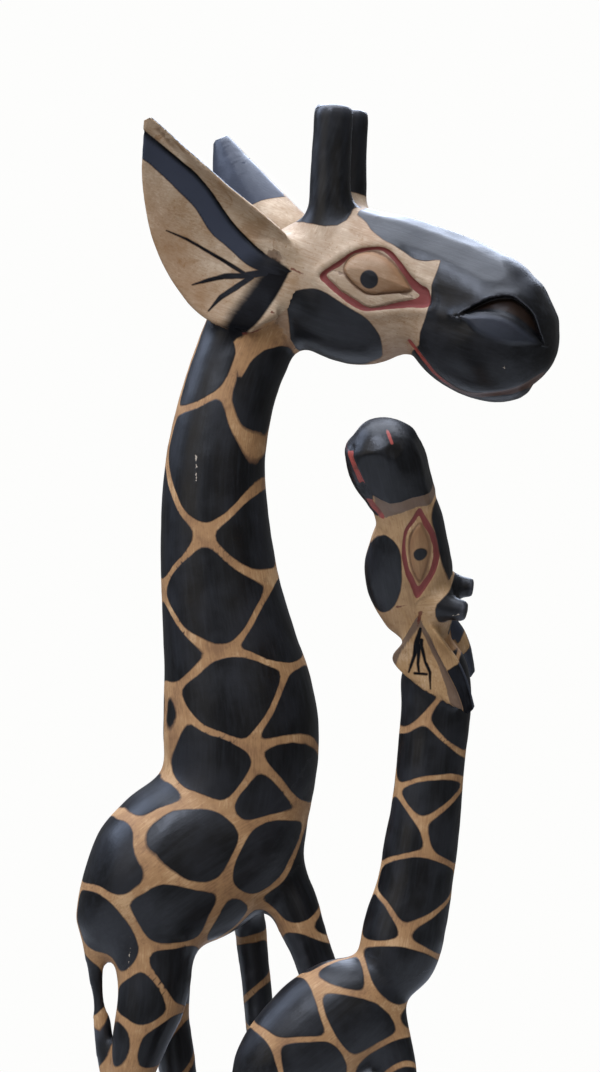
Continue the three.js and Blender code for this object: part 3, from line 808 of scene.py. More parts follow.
# A face's outlines and lines hold the place along the head and the height over its middle line.
giraffeFace = {
    "eyeOuter": [
        (40.2, 12.2), (51.5, 27.5), (58.9, 35.7), (70.4, 41.7), (80.4, 42.7), (90.8, 37.9), (100.7, 31.6),
        (110, 27.3), (116.7, 25.8), (121.9, 18), (119.4, 13.6), (107.9, 9.9), (97.9, 6), (85.1, 0.4),
        (76.4, -2.5), (67.2, -1.1), (57.3, 2.3), (48.5, 6.1),
    ],
    "eyeInner": [
        (43.8, 13.3), (50.9, 21.4), (56.1, 31.2), (62.1, 35.3), (71.3, 39.8), (78.8, 39.9), (89.2, 34.5),
        (98.6, 27.3), (105.5, 22.2), (111.1, 19.6), (106.3, 15.2), (96.9, 10), (84.5, 2.4), (77.7, 0.9),
        (70, 2.7), (59.4, 5.2), (52.4, 8),
    ],
    "lens": [
        (55.3, 19.9), (55, 26.4), (58.8, 32.1), (65.4, 36.4), (71.9, 38), (82.1, 36.6), (92.4, 31.2),
        (101.7, 24.4), (104.1, 21.8), (97.8, 18.3), (89.1, 14.7), (78.6, 10.4), (70.9, 11.1), (62.2, 14.8),
    ],
    "pupil": (75.4, 19.8, 6.2), "socket": 2.4, "lensRise": 5.6, "lensReach": 12,
    "cheek": [
        (24.5, -22.7), (22.1, -10.3), (25.8, -4.8), (36.9, 0.9), (47.7, 1.4), (64, -2.8), (77.3, -5.8),
        (85.6, -10.4), (91.9, -17.8), (92.8, -29.2), (85.7, -36), (70, -46), (50, -51), (31, -48),
        (26.7, -34),
    ],
    "muzzle": [
        (117.7, 90), (117.7, 47.3), (118.7, 40.2), (118.6, 29.3), (120.2, 22.5), (121.6, 12.1),
        (120.7, 4.6), (119.9, -4.4), (121, -13), (113, -22), (111, -60),
    ],
    "tongue": [
        (45, 62.5), (46.5, 59.2), (55.7, 55.9), (63.1, 51.4), (72.4, 48.3), (83.1, 46.6), (91.8, 44.2),
        (100.2, 42.4), (107.4, 43.2), (113.8, 46), (119, 47.5),
    ],
    "mouth": [
        (111.8, -13.4), (118.7, -17.8), (127.5, -23.7), (136.1, -29.7), (146.3, -33.7), (155.6, -35.8),
        (167.3, -34.8), (181.7, -29.2), (192, -23.6), (200, -16), (207, -6),
    ],
    "mouthTo": 300, "mouthGaps": [],
    "lid": [
        (142, 15), (144.3, 15.9), (148, 20.5), (153.2, 26.5), (159.3, 32), (167.1, 36.8), (174.6, 38.6),
        (182.4, 36.1), (188.4, 33.1), (193.9, 27.8), (199.8, 19.6), (203, 14.5),
    ],
    "cave": [
        (142, 14.8), (151.8, 20), (160.9, 23.6), (170.6, 25.4), (180.9, 24.6), (192, 20.6), (203, 14.2),
    ],
    "lip": [(142, 14.4), (150, 12.6), (159.1, 8.4), (170.5, 6.1), (182.9, 6.5), (192.8, 9.2), (203, 13.8)],
    "ridge": [(122, 12.6), (131.3, 12.3), (138.9, 13.2), (144.3, 15.7)],
    "facets": [(s + 4 * (k % 2), y, 62)
               for k, s in enumerate(range(50, 120, 14)) for y in (-27, -9, 9, 27)],
    "facetZone": (44, 30), "hornBlack": 1.35,
    "hornPatch": {"hornRight": [
        (-20, 39.5), (5, 41), (10.9, 42.4), (30.2, 44.9), (38, 48), (42, 53), (42.5, 58), (41.5, 62),
        (50, 90), (50, 200), (-20, 200),
    ], "hornLeft": [(-20, 73), (60, 72), (60, 200), (-20, 200)]},
}

calfFace = {
    "eyeOuter": [
        (97, 23.5), (89.1, 26.4), (78.2, 29.4), (68.1, 30.4), (58.5, 29.6), (50.5, 26.2), (42.5, 19.9),
        (34.8, 11.6), (44.3, 9.4), (55.5, 7.4), (67, 7.3), (76.4, 9.4), (84.6, 12.3), (90.7, 17.3),
    ],
    "eyeInner": [
        (91.6, 22.3), (86, 23.8), (77.9, 26), (68.8, 27), (61.1, 26.2), (51.8, 22.5), (46.3, 17.4),
        (43.4, 13.8), (49.1, 12.3), (56.8, 10.4), (66.8, 10.2), (76.4, 11), (83.8, 14.2), (87.7, 18.5),
    ],
    "lens": [
        (86, 22), (80, 24.2), (70.7, 25.4), (61.8, 23.7), (51.9, 19.4), (47, 15.6), (56.4, 12.9),
        (68.3, 12.9), (79.1, 15.6),
    ],
    "pupil": (66.2, 19.4, 4.1), "socket": 0.9, "lensRise": 1.7, "lensReach": 7,
    "cheek": [
        (72, -15.5), (76, -11.3), (79, -6.6), (80.4, -1.6), (77, 3.2), (71.3, 6.2), (62.9, 6.2),
        (50.1, 4.1), (39.8, 0.7), (31.3, -4.6), (26.2, -10.1), (24.1, -17), (28.1, -23.6), (40, -29),
        (55.6, -28), (66, -22),
    ],
    "muzzle": [
        (101, 60), (102, 31), (104.2, 28), (105.7, 20.9), (105.2, 13.2), (105, 6.4), (107.6, 0.1),
        (111, -4.5), (106, -6), (100, -4.6), (95.5, -2.5), (94, -6), (94, -40),
    ],
    "tongue": [(37.6, 31.6), (51.4, 30.4), (62, 30), (73.8, 30), (82.9, 29.3), (90.2, 29.9), (95, 32)],
    "mouth": [(94.5, -2), (98, -3.5), (106.2, -7.4), (115, -8.2), (124.8, -9.8), (134, -12), (143, -14.8)],
    "mouthTo": 142, "mouthGaps": [(108, 121)],
    "muzzleShade": [
        (96, 60), (96.1, 28.5), (98.2, 23.2), (97.8, 15.7), (95.9, 7.3), (93.6, 1.2), (92.9, -3.6),
        (92, -10),
    ],
    "nostrilRed": [(153, 9.9, 11.5), (145.8, 16.8, 14.8)],
    "nape": [(7, 19), (7, 34), (-8, 31), (-20, 25.5), (-27, 21.5), (-21, 18.5), (-10, 17.5)],
    "facets": [(s + 5 * (k % 2), 17 * math.sin(turn + k), 10 + 20 * math.cos(turn + k))
               for k, s in enumerate(range(104, 160, 13)) for turn in (0, 1.05, 2.1, 3.14, 4.2, 5.25)],
    "facetZone": (98, -60), "hornBlack": 1.9,
    "hornPatch": {"hornRight": [
        (33, 70), (33, 40), (32.5, 33), (30.5, 27.5), (28.5, 24.2), (25.5, 22.6), (20, 21.8), (14.5, 22.4),
        (11.5, 25), (9.5, 30), (7, 38), (0, 70),
    ]},
    "facetEnd": (150, 140), "upperLip": (3, (139, 145), (155, 146), (3, -12)),
}


def eyeRelief(face, flat, facing):
    outer = polygonDistance(flat, smoothLoop(face["eyeOuter"]))
    inner = polygonDistance(flat, smoothLoop(face["eyeInner"]))
    lens = polygonDistance(flat, smoothLoop(face["lens"]))
    socket = face["socket"]
    bulge = face["lensRise"] * np.sqrt(np.clip(lens / face["lensReach"], 0, 1))
    lift = -socket * step(-0.8, 1.8, outer)
    lift += (0.5 * socket + bulge) * step(-0.2, 0.7, lens)
    lowerLid = step(-0.4, -1.6, lens) * step(0.4, 1.6, inner) * (flat[:, 1] < face["pupil"][1] - 3)
    lift += 0.8 * socket * lowerLid
    lift += 0.5 * socket * np.exp(-((outer + 3) / 3) ** 2)
    return lift * facing, outer, inner, lens


# the lip's slate grey is a painted sheen on the black of the nostril's lower lip
nostril = {"deep": 7.5, "brow": 1.5, "lip": 2.0, "ridge": 1.2, "lipSheen": 0.45}


def nostrilRelief(face, flat, facing):
    lid, cave, lip = (smoothLine(face[name]) for name in ("lid", "cave", "lip"))
    inCave = polygonDistance(flat, np.vstack([lid, cave[::-1]]))
    inLip = polygonDistance(flat, np.vstack([cave, lip[::-1]]))
    toLid, toCave = np.abs(lineDistance(flat, lid)), np.abs(lineDistance(flat, cave))
    share = toLid / (toLid + toCave + 1e-6)
    lift = np.where(inCave > 0, -nostril["deep"] * (1 - share) ** 0.7 * step(0, 1.5, toLid), 0)
    above = (inCave <= 0) & (inLip <= 0) & (flat[:, 1] > 13)
    lift += np.where(above, nostril["brow"] * np.exp(-(toLid / 4.5) ** 2), 0)
    lift += nostril["lip"] * step(0, 4.5, inLip)
    toRidge = np.abs(lineDistance(flat, smoothLine(face["ridge"])))
    lift += nostril["ridge"] * np.exp(-(toRidge / 5) ** 2)
    # painted sheen: a lighter grey on the nostril's lower lip
    paintedSheen = nostril["lipSheen"] * step(0, 3.5, inLip) * facing
    return lift * facing, np.maximum(inCave, 0) * (share < 0.8), paintedSheen


# An ear's lines hold the place along it and the height towards its upper rim. A vein holds its
# two ends and its half width at each.
giraffeEar = {
    "bandTop": [
        (150, -7), (137.3, -4.3), (124.5, -0.5), (109.3, 4.4), (94, 9.7), (78.4, 12.5), (65.8, 13.1),
        (51.2, 14.3), (34.1, 18.6), (18.3, 25), (3.4, 33.6), (0, 36),
    ],
    "bandLow": [
        (146, -14), (128, -24), (121.8, -16.3), (109.6, -12.3), (93.1, -8.2), (72.4, -3.6), (53.1, -2.8),
        (35.9, 3), (20.5, 8.7), (10.7, 16), (0, 28),
    ],
    "rimRise": 1.7, "greyBand": False, "shadeReach": -1.5, "rimBlackFrom": 500, "shadeUnderBand": True,
    "rootReach": (26, 44, 13, 24),
    "rootLip": [
        (3, 40), (3, 34.3), (-0.1, 32.7), (-7.2, 21.4), (-13.6, 9.2), (-18.8, -2.6), (-20.6, -12.7),
        (-22, -20),
    ],
    "rootShade": [(12, 22), (7.9, 15.5), (3.4, 6.8), (-2.1, -5.7), (-7.6, -18.5), (-12.9, -26)],
    "backFrom": 62,
    "veins": [
        ((8.5, 18), (13.7, 5.2), 2.4, 2.2), ((13.7, 5.2), (25.7, -1.7), 1.3, 1.05),
        ((25.7, -1.7), (40.3, -10), 1.05, 0.95), ((40.3, -10), (57.4, -19.5), 0.95, 0.7),
        ((57.4, -19.5), (69.7, -28.1), 0.7, 0.3), ((12, 8), (15.5, 1), 2.0, 1.9),
        ((15.5, 1), (21.1, -9), 1.9, 1.7), ((21.1, -9), (24.4, -20.1), 1.7, 1.2),
        ((24.4, -20.1), (27.3, -31.2), 1.2, 0.2), ((11, 8), (10, -6.4), 1.9, 1.8),
        ((10, -6.4), (9.6, -18), 1.8, 1.5), ((9.6, -18), (5.5, -29.7), 1.5, 0.2),
    ],
}

calfEar = {
    "bandTop": [(62, -2), (59, 0.4), (48, 3.5), (21, 8), (8, 11.5), (-4.7, 14.6)],
    "bandLow": [(58, -7), (52.5, -4.8), (33.9, 1.8), (17.6, 5.4), (2.2, 10.4), (-1.5, 11.1)],
    "rimRise": 1.2, "greyBand": True, "shadeReach": 1, "rimBlackFrom": 34, "shadeUnderBand": False,
    "rootReach": (12, 24, 7, 9),
    "rootLip": [(-9, 18), (-8.5, 16), (-2.1, -0.5), (4.2, -18.5), (9.3, -23)],
    "rootShade": [(-1.5, 11.1), (3, -6.5), (9.6, -21)], "backFrom": 34,
    "veins": [
        ((0.1, 10.6), (7, 1), 0.8, 1.8), ((7, 1), (12.5, -5.5), 1.8, 1.2),
        ((12.5, -5.5), (16.4, -11.3), 1.1, 0.75), ((16.4, -11.3), (19.5, -15.8), 0.75, 0.3),
        ((9, 1), (19, -7.8), 1.4, 0.7), ((19, -7.8), (24.7, -10.8), 0.7, 0.4),
        ((7, 5), (10, 2.3), 1.2, 1.1), ((10, 2.3), (20.7, -2.8), 1.0, 0.75),
        ((20.7, -2.8), (28.1, -4.4), 0.75, 0.8), ((28.1, -4.4), (37.2, -10.6), 0.8, 0.35),
        ((22.6, -13.1), (27.8, -6.9), 0.6, 0.6),
    ],
}


def setAttribute(mesh, name, values):
    kind, field = ("FLOAT", "value") if values.ndim == 1 else ("FLOAT_VECTOR", "vector")
    attribute = mesh.attributes.new(name, kind, "POINT")
    attribute.data.foreach_set(field, values.astype(np.float32).ravel())


# straightened coordinates for the brush marks: across, across, along each limb
def brushPlaces(animal, places, owner, along, h):
    stand = into(standFrame(animal), places)
    brush = np.zeros_like(places)
    limbs = standingLimbs(animal)
    for shift, (name, stops) in enumerate(limbs.items()):
        mine = owner == name
        spine, ahead, aside, over = limbAxes(stops, along[name][mine])
        away = stand[mine] - spine[:, :3]
        table = splineAt(stops, np.linspace(0, 1, 100))[:, :3]
        length = np.linalg.norm(np.diff(table, axis=0), axis=1).sum()
        run = along[name][mine] * length + (away * ahead).sum(1)
        brush[mine] = np.stack([(away * over).sum(1) + shift * 300, (away * aside).sum(1), run], 1)
    rest = ~np.isin(owner, list(limbs))
    brush[rest] = h[rest][:, [1, 2, 0]] + (0, 900, 0)
    horns = np.isin(owner, ["hornRight", "hornLeft"])
    brush[horns] = h[horns] + (0, 1300, 0)
    return brush


skin = {"smooth": 0.05, "fillet": 0.75, "filletReach": (1.42, 1.12), "earBase": (-24, 10, 42, -12),
        "byHead": 1.5, "headReach": (-60, 230), "headSmooth": 0.5, "bodySmooth": 0.15,
        "offHead": (1.12, 1.4), "offNeck": (1.02, 1.16), "eyeEdge": -3}


# one skin with soft fillets and flat soles
def growSkin(animal):
    mesh = joinSkin(rawAnimal(animal), animal["voxel"])
    places, edges, normals = meshArrays(mesh)
    second = sortLimbs(animal, places)[1]
    weight = skin["smooth"] + skin["fillet"] * step(*skin["filletReach"], second)
    setPlaces(mesh, relax(places, edges, weight, animal["fillet"]))
    cutSoles(mesh)
    return mesh


# smaller faces on the head and inside the ears, and smaller again at the eyes and nostrils
def addDetail(mesh, animal, face):
    owner, second, ratio, along, h = sortLimbs(animal, meshArrays(mesh)[0])
    fine = (owner == "head") & (np.abs(h[:, 1]) > 4) & (h[:, 0] > 15)
    back, ahead, across, low = skin["earBase"]
    for side, earName in sides:
        e, lift, gap = earPlaces(animal, h, side)
        atRoot = (e[:, 0] > back) & (e[:, 0] < ahead) & (np.abs(e[:, 1]) < across) & (e[:, 2] > low)
        fine |= ((owner == earName) & (lift > -1.5)) | (atRoot & (ratio["head"] < skin["byHead"]))
    refine(mesh, fine)
    h = into(headFrame(animal["head"]), meshArrays(mesh)[0])
    flat = h[:, [0, 2]]
    finest = (polygonDistance(flat, face["eyeOuter"]) > skin["eyeEdge"]) & (np.abs(h[:, 1]) > 8)
    if "lid" in face:
        inNostril = polygonDistance(flat, face["lid"] + face["lip"][::-1]) > skin["eyeEdge"]
        finest |= inNostril & (np.abs(h[:, 1]) > 12)
    refine(mesh, finest)


# evens out the steps of the remesh, and brings the ears back to smooth leaves
def evenSkin(mesh, animal):
    places, edges, normals = meshArrays(mesh)
    h = into(headFrame(animal["head"]), places)
    behind, around = skin["headReach"]
    near = (h[:, 0] > behind) & (np.abs(h).max(1) < around)
    places = relax(places, edges, np.where(near, skin["headSmooth"], skin["bodySmooth"]), 4)
    owner, second, ratio, along, h = sortLimbs(animal, places)
    free = step(*skin["offHead"], ratio["head"]) * step(*skin["offNeck"], ratio["neck"])
    weights = {side: free * (owner == earName) for side, earName in sides}
    for _ in range(3):
        places = relax(places, edges, (weights[-1] + weights[1]) * 0.5, 3)
        for side in weights:
            places = snapToLeaf(animal, places, side, weights[side])
    setPlaces(mesh, places)


mouthCut = {"deep": 1.6, "half": 1.5, "from": (95, 115)}


# cuts the eyes, nostrils, mouth and knife facets, in the head's own coordinates
def carveHead(face, h, normals, headed):
    flat = h[:, [0, 2]]
    outward = np.sign(h[:, 1])
    facing = step(0.12, 0.4, normals[:, 1] * outward) * headed
    lift, outer, inner, lens = eyeRelief(face, flat, facing)
    hole, paintedSheen = np.zeros(len(h)), np.zeros(len(h))
    if "lid" in face:
        deep, hole, paintedSheen = nostrilRelief(face, flat, facing)
        lift = lift + deep
        hole = hole * headed
    h[:, 1] += lift * outward
    if "upperLip" in face:  # it stands back from the end of the lower jaw
        rise, start, end, under = face["upperLip"]
        h[:, 2] += rise * step(*start, h[:, 0]) * step(*end, h[:, 0]) * step(*under, h[:, 2]) * headed
    mouth = lineDistance(flat, smoothLine(face["mouth"]))
    groove = -mouthCut["deep"] * np.exp(-(mouth / mouthCut["half"]) ** 2) * headed
    h += normals * (groove * step(*mouthCut["from"], h[:, 0]))[:, None]
    low, over = face["facetZone"]
    zone = headed & (h[:, 0] > low - 8) & (h[:, 2] > over - 8)
    cut = facets(h[zone], normals[zone], face["facets"])
    cut *= step(low - 6, low + 2, h[zone, 0]) * step(over - 6, over + 4, h[zone, 2])
    if "facetEnd" in face:
        cut *= step(*face["facetEnd"], h[zone, 0])
    h[zone] += normals[zone] * cut[:, None]
    return flat, facing, outer, inner, lens, mouth, hole, paintedSheen


# raises the ears' rims, and finds how deep each place lies in their dark paint
def carveEars(animal, ear, h, normals, owner, paintedSheen):
    count = len(h)
    black, shadeAndGreyBand, matte = np.full(count, -9.0), np.full(count, -9.0), np.zeros(count)
    earAt = np.tile((0.0, 0.0, 30.0), (count, 1))
    band = np.vstack([smoothLine(ear["bandTop"]), smoothLine(ear["bandLow"])[::-1]])
    farAlong, farAcross, deep, high = ear["rootReach"]
    for side, earName in sides:
        e, lift, gap = earPlaces(animal, h, side)
        out = earFrame(earOf(animal, side))[1][2] * np.array((1, -side, 1))
        leafy = owner == earName
        atRoot = (np.abs(e[:, 0]) < farAlong) & (np.abs(e[:, 1]) < farAcross)
        atRoot &= (e[:, 2] > -deep) & (e[:, 2] < high)
        front = (leafy | (atRoot & (h[:, 1] * side > 0))) & (normals @ out > 0.05) & (lift > -2.5)
        under = lineDistance(e[:, :2], smoothLine(ear["bandTop"]))
        rim = ear["rimRise"] * (step(0.9, -0.4, under) - 0.9 * np.exp(-((under - 1.2) / 1.3) ** 2))
        onRim = front & leafy & (e[:, 0] > 2)
        h[onRim] += out * (rim[onRim] * step(2, 16, e[onRim, 0]))[:, None]
        shade = np.minimum(lineDistance(e[:, :2], smoothLine(ear["rootLip"])) * 5,
                           ear["shadeReach"] - lineDistance(e[:, :2], smoothLine(ear["rootShade"])))
        shade = np.minimum(shade, 5 * under if ear["shadeUnderBand"] else 15.5 - e[:, 1])
        inBand = polygonDistance(e[:, :2], band)
        if ear["greyBand"]:
            shade = np.maximum(shade, 2 * inBand + 1)
        else:
            black[front] = inBand[front]
            # painted sheen: the ear band's black turns bluish grey away from its upper edge
            paintedSheen[front] = (step(1.2, 4.5, under) * step(14, 30, e[:, 0]) * step(-0.6, 0.4, inBand))[front]
        # the giraffe's ear roots get painted shade here, black in the crease and fading outwards; the calf's
        # ears get grey-brown bands of paint
        shadeAndGreyBand[front] = np.maximum(shadeAndGreyBand, shade)[front]
        back = leafy & ~front
        black[back] = e[back, 0] - earOf(animal, side).get("backFrom", ear["backFrom"])
        # painted sheen: the backs of the ears are a bluish grey
        paintedSheen[back] = 0.8
        matte[back] = 0.6
        matte[front] = np.maximum(leafy, step(-6, 0, shadeAndGreyBand))[front]
        rimBlack = np.minimum(e[:, 0] - ear["rimBlackFrom"], -under - 0.6)
        black[front] = np.maximum(black, rimBlack)[front]
        earAt[front] = e[front] * (1, 1, 0)
    return black, shadeAndGreyBand, matte, earAt


# how deep each place lies in the black paint of the head, the ears aside
def headBlack(animal, face, h, flat, ratio):
    cheek = np.minimum(polygonDistance(flat, smoothLoop(face["cheek"])), np.abs(h[:, 1]) - 6)
    muzzle = polygonDistance(flat, face["muzzle"] + [(300, face["muzzle"][-1][1]), (300, 90)])
    start, end = face["tongue"][0][0], face["tongue"][-1][0]
    tongue = np.where((h[:, 0] > start) & (h[:, 2] > 20), lineDistance(flat, smoothLine(face["tongue"])), -9)
    tongue = np.where(h[:, 0] > end, np.minimum(tongue, end + 1 - h[:, 0]), tongue)
    across, up, radius = face["pupil"]
    pupil = np.where(np.abs(h[:, 1]) > 10, radius - np.hypot(flat[:, 0] - across, flat[:, 1] - up), -9)
    black = np.maximum.reduce([cheek, muzzle, tongue, pupil])
    for hornName in ("hornRight", "hornLeft"):
        patch = face["hornPatch"].get(hornName, face["hornPatch"]["hornRight"])
        horn = (face["hornBlack"] - ratio[hornName]) * animal["horn"]["stops"][1][3]
        black = np.maximum(black, np.minimum(horn, polygonDistance(flat, patch)))
    return black


patches = {"waver": 3.2, "waverSize": 27, "swell": 0.4, "swellSize": 19, "overHoof": 2, "fromEar": 0.8}


# how deep each place lies in a painted patch of the neck, body or legs
def bodyBlack(animal, places, ratio, seed):
    waver = np.stack([wobble(places, patches["waverSize"], seed + k) for k in (5, 6, 7)], 1)
    shaken = places + patches["waver"] * waver
    depth = spotDepth(shaken, allSpots(animal, seed), animal["halfLine"], animal["corner"])
    depth += patches["swell"] * wobble(places, patches["swellSize"], seed + 8)
    depth = np.minimum(depth, (ratio["head"] - 1) * animal["headClear"] - animal["headEdge"])
    for side, earName in sides:
        depth = np.minimum(depth, (ratio[earName] - 1) * earScale - patches["fromEar"])
    overHoof = places[:, 2] - soleHeight - animal["hoof"] - patches["overHoof"]
    depth = np.where(overHoof < 0, -4 - overHoof, np.minimum(depth, overHoof))
    if "neckPale" in animal:
        pale = polygonDistance(places[:, [0, 2]], animal["neckPale"])
        depth = np.where(places[:, 2] > animal["neckPaleFrom"], np.minimum(depth, -pale), depth)
    return depth


# the distance to the red lines of the mouth and of a calf's nostrils
def redLines(face, h, mouth, headed):
    bare = (h[:, 0] < face["mouth"][0][0] - 2) | (h[:, 0] > face["mouthTo"])
    for low, high in face["mouthGaps"]:
        bare |= (h[:, 0] > low) & (h[:, 0] < high)
    lines = np.where(headed & ~bare, mouth, 30)
    if "nostrilRed" in face:
        start, end = np.array(face["nostrilRed"], float)
        run = end - start
        away = np.stack([h[:, 0], np.abs(h[:, 1]), h[:, 2]], 1) - start
        share = np.clip(away @ run / run.dot(run), 0, 1)
        lines = np.minimum(lines, np.linalg.norm(away - share[:, None] * run, axis=1) + 0.7)
    return lines


hand = {"sway": 0.5, "swaySize": 30, "dent": 0.22, "dentSize": 11, "atEyes": 0.4,
        "hoofLine": 1.1, "hoofLineHalf": 1.6, "insideBox": 0.03}


# the unevenness of hand work, and a line cut round each hoof
def roughen(animal, places, normals, outer, seed):
    sway = hand["sway"] * wobble(places, hand["swaySize"], seed)
    sway += hand["dent"] * wobble(places, hand["dentSize"], seed + 3)
    places = places + normals * (sway * np.where(outer > -4, hand["atEyes"], 1.0))[:, None]
    hoof = soleHeight + animal["hoof"]
    line = -hand["hoofLine"] * np.exp(-((places[:, 2] - hoof) / hand["hoofLineHalf"]) ** 2)
    places += normals * line[:, None]
    places[:, 2] = np.maximum(places[:, 2], soleHeight)
    low, high = (np.array(corner) * 1000 for corner in cadBox)
    return np.clip(places, low + hand["insideBox"], high - hand["insideBox"])


# how far each place stands out of its neighbours: raised edges get worn paint and chips, hollows get painted
# shade
def wearAndShadeRelief(places, edges, normals):
    a, b = edges.T
    count = len(places)
    length = np.linalg.norm(places[a] - places[b], axis=1)
    size = np.bincount(a, length, count) / np.maximum(np.bincount(a, minlength=count), 1)
    out = ((places - neighbourMean(places, edges)) * normals).sum(1)
    return evened(out / np.maximum(size, 0.3), edges, 0.7, 3)


def carveAnimal(name, animal, face, ear, seed):
    mesh = growSkin(animal)
    print(name, "joined,", len(mesh.vertices), "corners")
    addDetail(mesh, animal, face)
    evenSkin(mesh, animal)

    places, edges, normals = meshArrays(mesh)
    owner, second, ratio, along, h = sortLimbs(animal, places)
    frameAt = headFrame(animal["head"])
    localNormals = normals @ frameAt[1].T
    headed = owner == "head"
    flat, facing, outer, inner, lens, mouth, hole, paintedSheen = carveHead(face, h, localNormals, headed)
    earBlack, shadeAndGreyBand, matte, earAt = carveEars(animal, ear, h, localNormals, owner, paintedSheen)
    setPlaces(mesh, roughen(animal, outOf(frameAt, h), normals, outer, seed))
    places, edges, normals = meshArrays(mesh)

    # masks for the paint
    ears = np.isin(owner, ["earRight", "earLeft"])
    topped = ears | np.isin(owner, ["head", "hornRight", "hornLeft"])
    black = np.maximum(np.where(ears, -9, headBlack(animal, face, h, flat, ratio)), earBlack)
    black = np.where(topped, black, bodyBlack(animal, places, ratio, seed))
    if "nape" in face:
        nape = polygonDistance(flat, face["nape"])
        black = np.where(topped & (h[:, 1] < 6), np.maximum(black, nape), black)
    if "muzzleShade" in face:
        band = np.minimum(2 * lineDistance(flat, face["muzzleShade"]), flat[:, 1] + 5)
        shadeAndGreyBand = np.where(headed, np.maximum(shadeAndGreyBand, band), shadeAndGreyBand)
    byNeck = ears * step(1.3, 1.1, ratio["neck"])
    eyed = facing > 0
    # painted shade: a brown that darkens the lower head, the lower part of each ear's front, the eye's lens
    # and a ring round its edge; on the jaw it is partly the wood's own darker tone
    inLens = step(0, 1, lens) * (0.6 + 0.4 * step(-4, 24, flat[:, 0] - face["pupil"][0]))
    paintedShade = 0.7 * step(8, -34, h[:, 2]) * headed + 0.5 * ears * step(-8, -34, earAt[:, 1])
    paintedShade += (inLens + 0.5 * np.exp(-((lens - 0.5) / 1.8) ** 2)) * eyed
    wearAndHollowShade = wearAndShadeRelief(places, edges, normals)
    for label, values in {
        "blackEdge": np.maximum(black, -9 + 8.2 * byNeck),
        "redEdge": np.where(eyed, np.minimum(outer, -inner), -9),
        "mouthLine": redLines(face, h, mouth, headed),
        "lensLine": np.where(eyed, lens, -30),
        "wearAndHollowShade": np.where(ears, np.minimum(wearAndHollowShade, 0), wearAndHollowShade),
        "matte": evened(matte, edges, 0.6, 4),
        "shadeAndGreyBand": shadeAndGreyBand, "paintedShade": paintedShade, "hole": hole, "paintedSheen": paintedSheen, "cream": topped, "earAt": earAt,
        "brushAt": brushPlaces(animal, places, owner, along, h),
    }.items():
        setAttribute(mesh, label, values)

    setPlaces(mesh, places / 1000)
    mesh.name = name
    for polygon in mesh.polygons:
        polygon.use_smooth = True
    print(name, "carved,", len(mesh.polygons), "faces")
    return addObject(name + "Carving", mesh)


# a group's inputs are numbers, places of 3 values or colours of 4
def makeGroup(name, inputs, outputs):
    group = bpy.data.node_groups.new(name, "ShaderNodeTree")
    kinds = {1: "NodeSocketFloat", 3: "NodeSocketVector", 4: "NodeSocketColor"}
    for label, value in inputs.items():
        socket = group.interface.new_socket(name=label, in_out="INPUT", socket_type=kinds[np.size(value)])
        socket.default_value = value
    for label in outputs:
        kind = kinds[4 if label == "Color" else 1]
        group.interface.new_socket(name=label, in_out="OUTPUT", socket_type=kind)
    return group, group.nodes.new("NodeGroupInput").outputs, group.nodes.new("NodeGroupOutput").inputs


def useGroup(tree, group, inputs):
    return addNode(tree, "ShaderNodeGroup", inputs, node_tree=group).outputs


def vector2(tree, operation, a, b):
    second = "Scale" if operation == "SCALE" else 1
    output = "Value" if operation in ("DOT_PRODUCT", "DISTANCE") else "Vector"
    return addNode(tree, "ShaderNodeVectorMath", {0: a, second: b}, operation=operation).outputs[output]


# one tapering brush stroke between two places: its depth, above 0 inside it
def strokeGroup():
    group, given, made = makeGroup("stroke", {
        "At": (0, 0, 0), "From": (0, 0, 0), "To": (1, 0, 0), "Start Width": 1.0, "End Width": 1.0}, ["Depth"])
    away = vector2(group, "SUBTRACT", given["At"], given["From"])
    run = vector2(group, "SUBTRACT", given["To"], given["From"])
    share = math2(group, "DIVIDE", vector2(group, "DOT_PRODUCT", away, run),
                  vector2(group, "DOT_PRODUCT", run, run), True)
    distance = vector2(group, "DISTANCE", away, vector2(group, "SCALE", run, share))
    width = ramp(group, share, 0, 1, given["Start Width"], given["End Width"], False)
    group.links.new(minus(group, width, distance), made["Depth"])
    return group


# marks of a brush run along a limb: light and dark streaks, and clouds of dust
def brushGroup():
    group, given, made = makeGroup("brush marks", {
        "Along Limb": (0, 0, 0), "Place": (0, 0, 0), "Fineness": 1.0}, ["Streaks", "Cloud"])
    fine = speckle(group, given["Along Limb"], given["Fineness"], 3, 0.6, (0.9, 0.9, 0.06))
    broad = speckle(group, given["Along Limb"], given["Fineness"], 2, 0.5, (0.28, 0.28, 0.03))
    group.links.new(plus(group, times(group, fine, 0.55), times(group, broad, 0.45)), made["Streaks"])
    group.links.new(speckle(group, given["Place"], given["Fineness"], 3, 0.55, (50, 50, 40)), made["Cloud"])
    return group


# the hand-drawn edge of a patch of paint: wavers, and gives the patch and a thin line round it
def edgeGroup():
    group, given, made = makeGroup("paint edge", {
        "Depth": 0.0, "Place": (0, 0, 0), "Waver": 0.5, "Line": 1.0}, ["Patch", "Edge", "Depth"])
    shake = minus(group, speckle(group, given["Place"], 110, 3, 0.6), 0.5)
    depth = plus(group, given["Depth"], times(group, shake, times(group, given["Waver"], 2.4)))
    group.links.new(ramp(group, depth, -0.22, 0.22), made["Patch"])
    group.links.new(ramp(group, math2(group, "DIVIDE", depth, given["Line"]), -1.3, -0.25), made["Edge"])
    group.links.new(depth, made["Depth"])
    return group


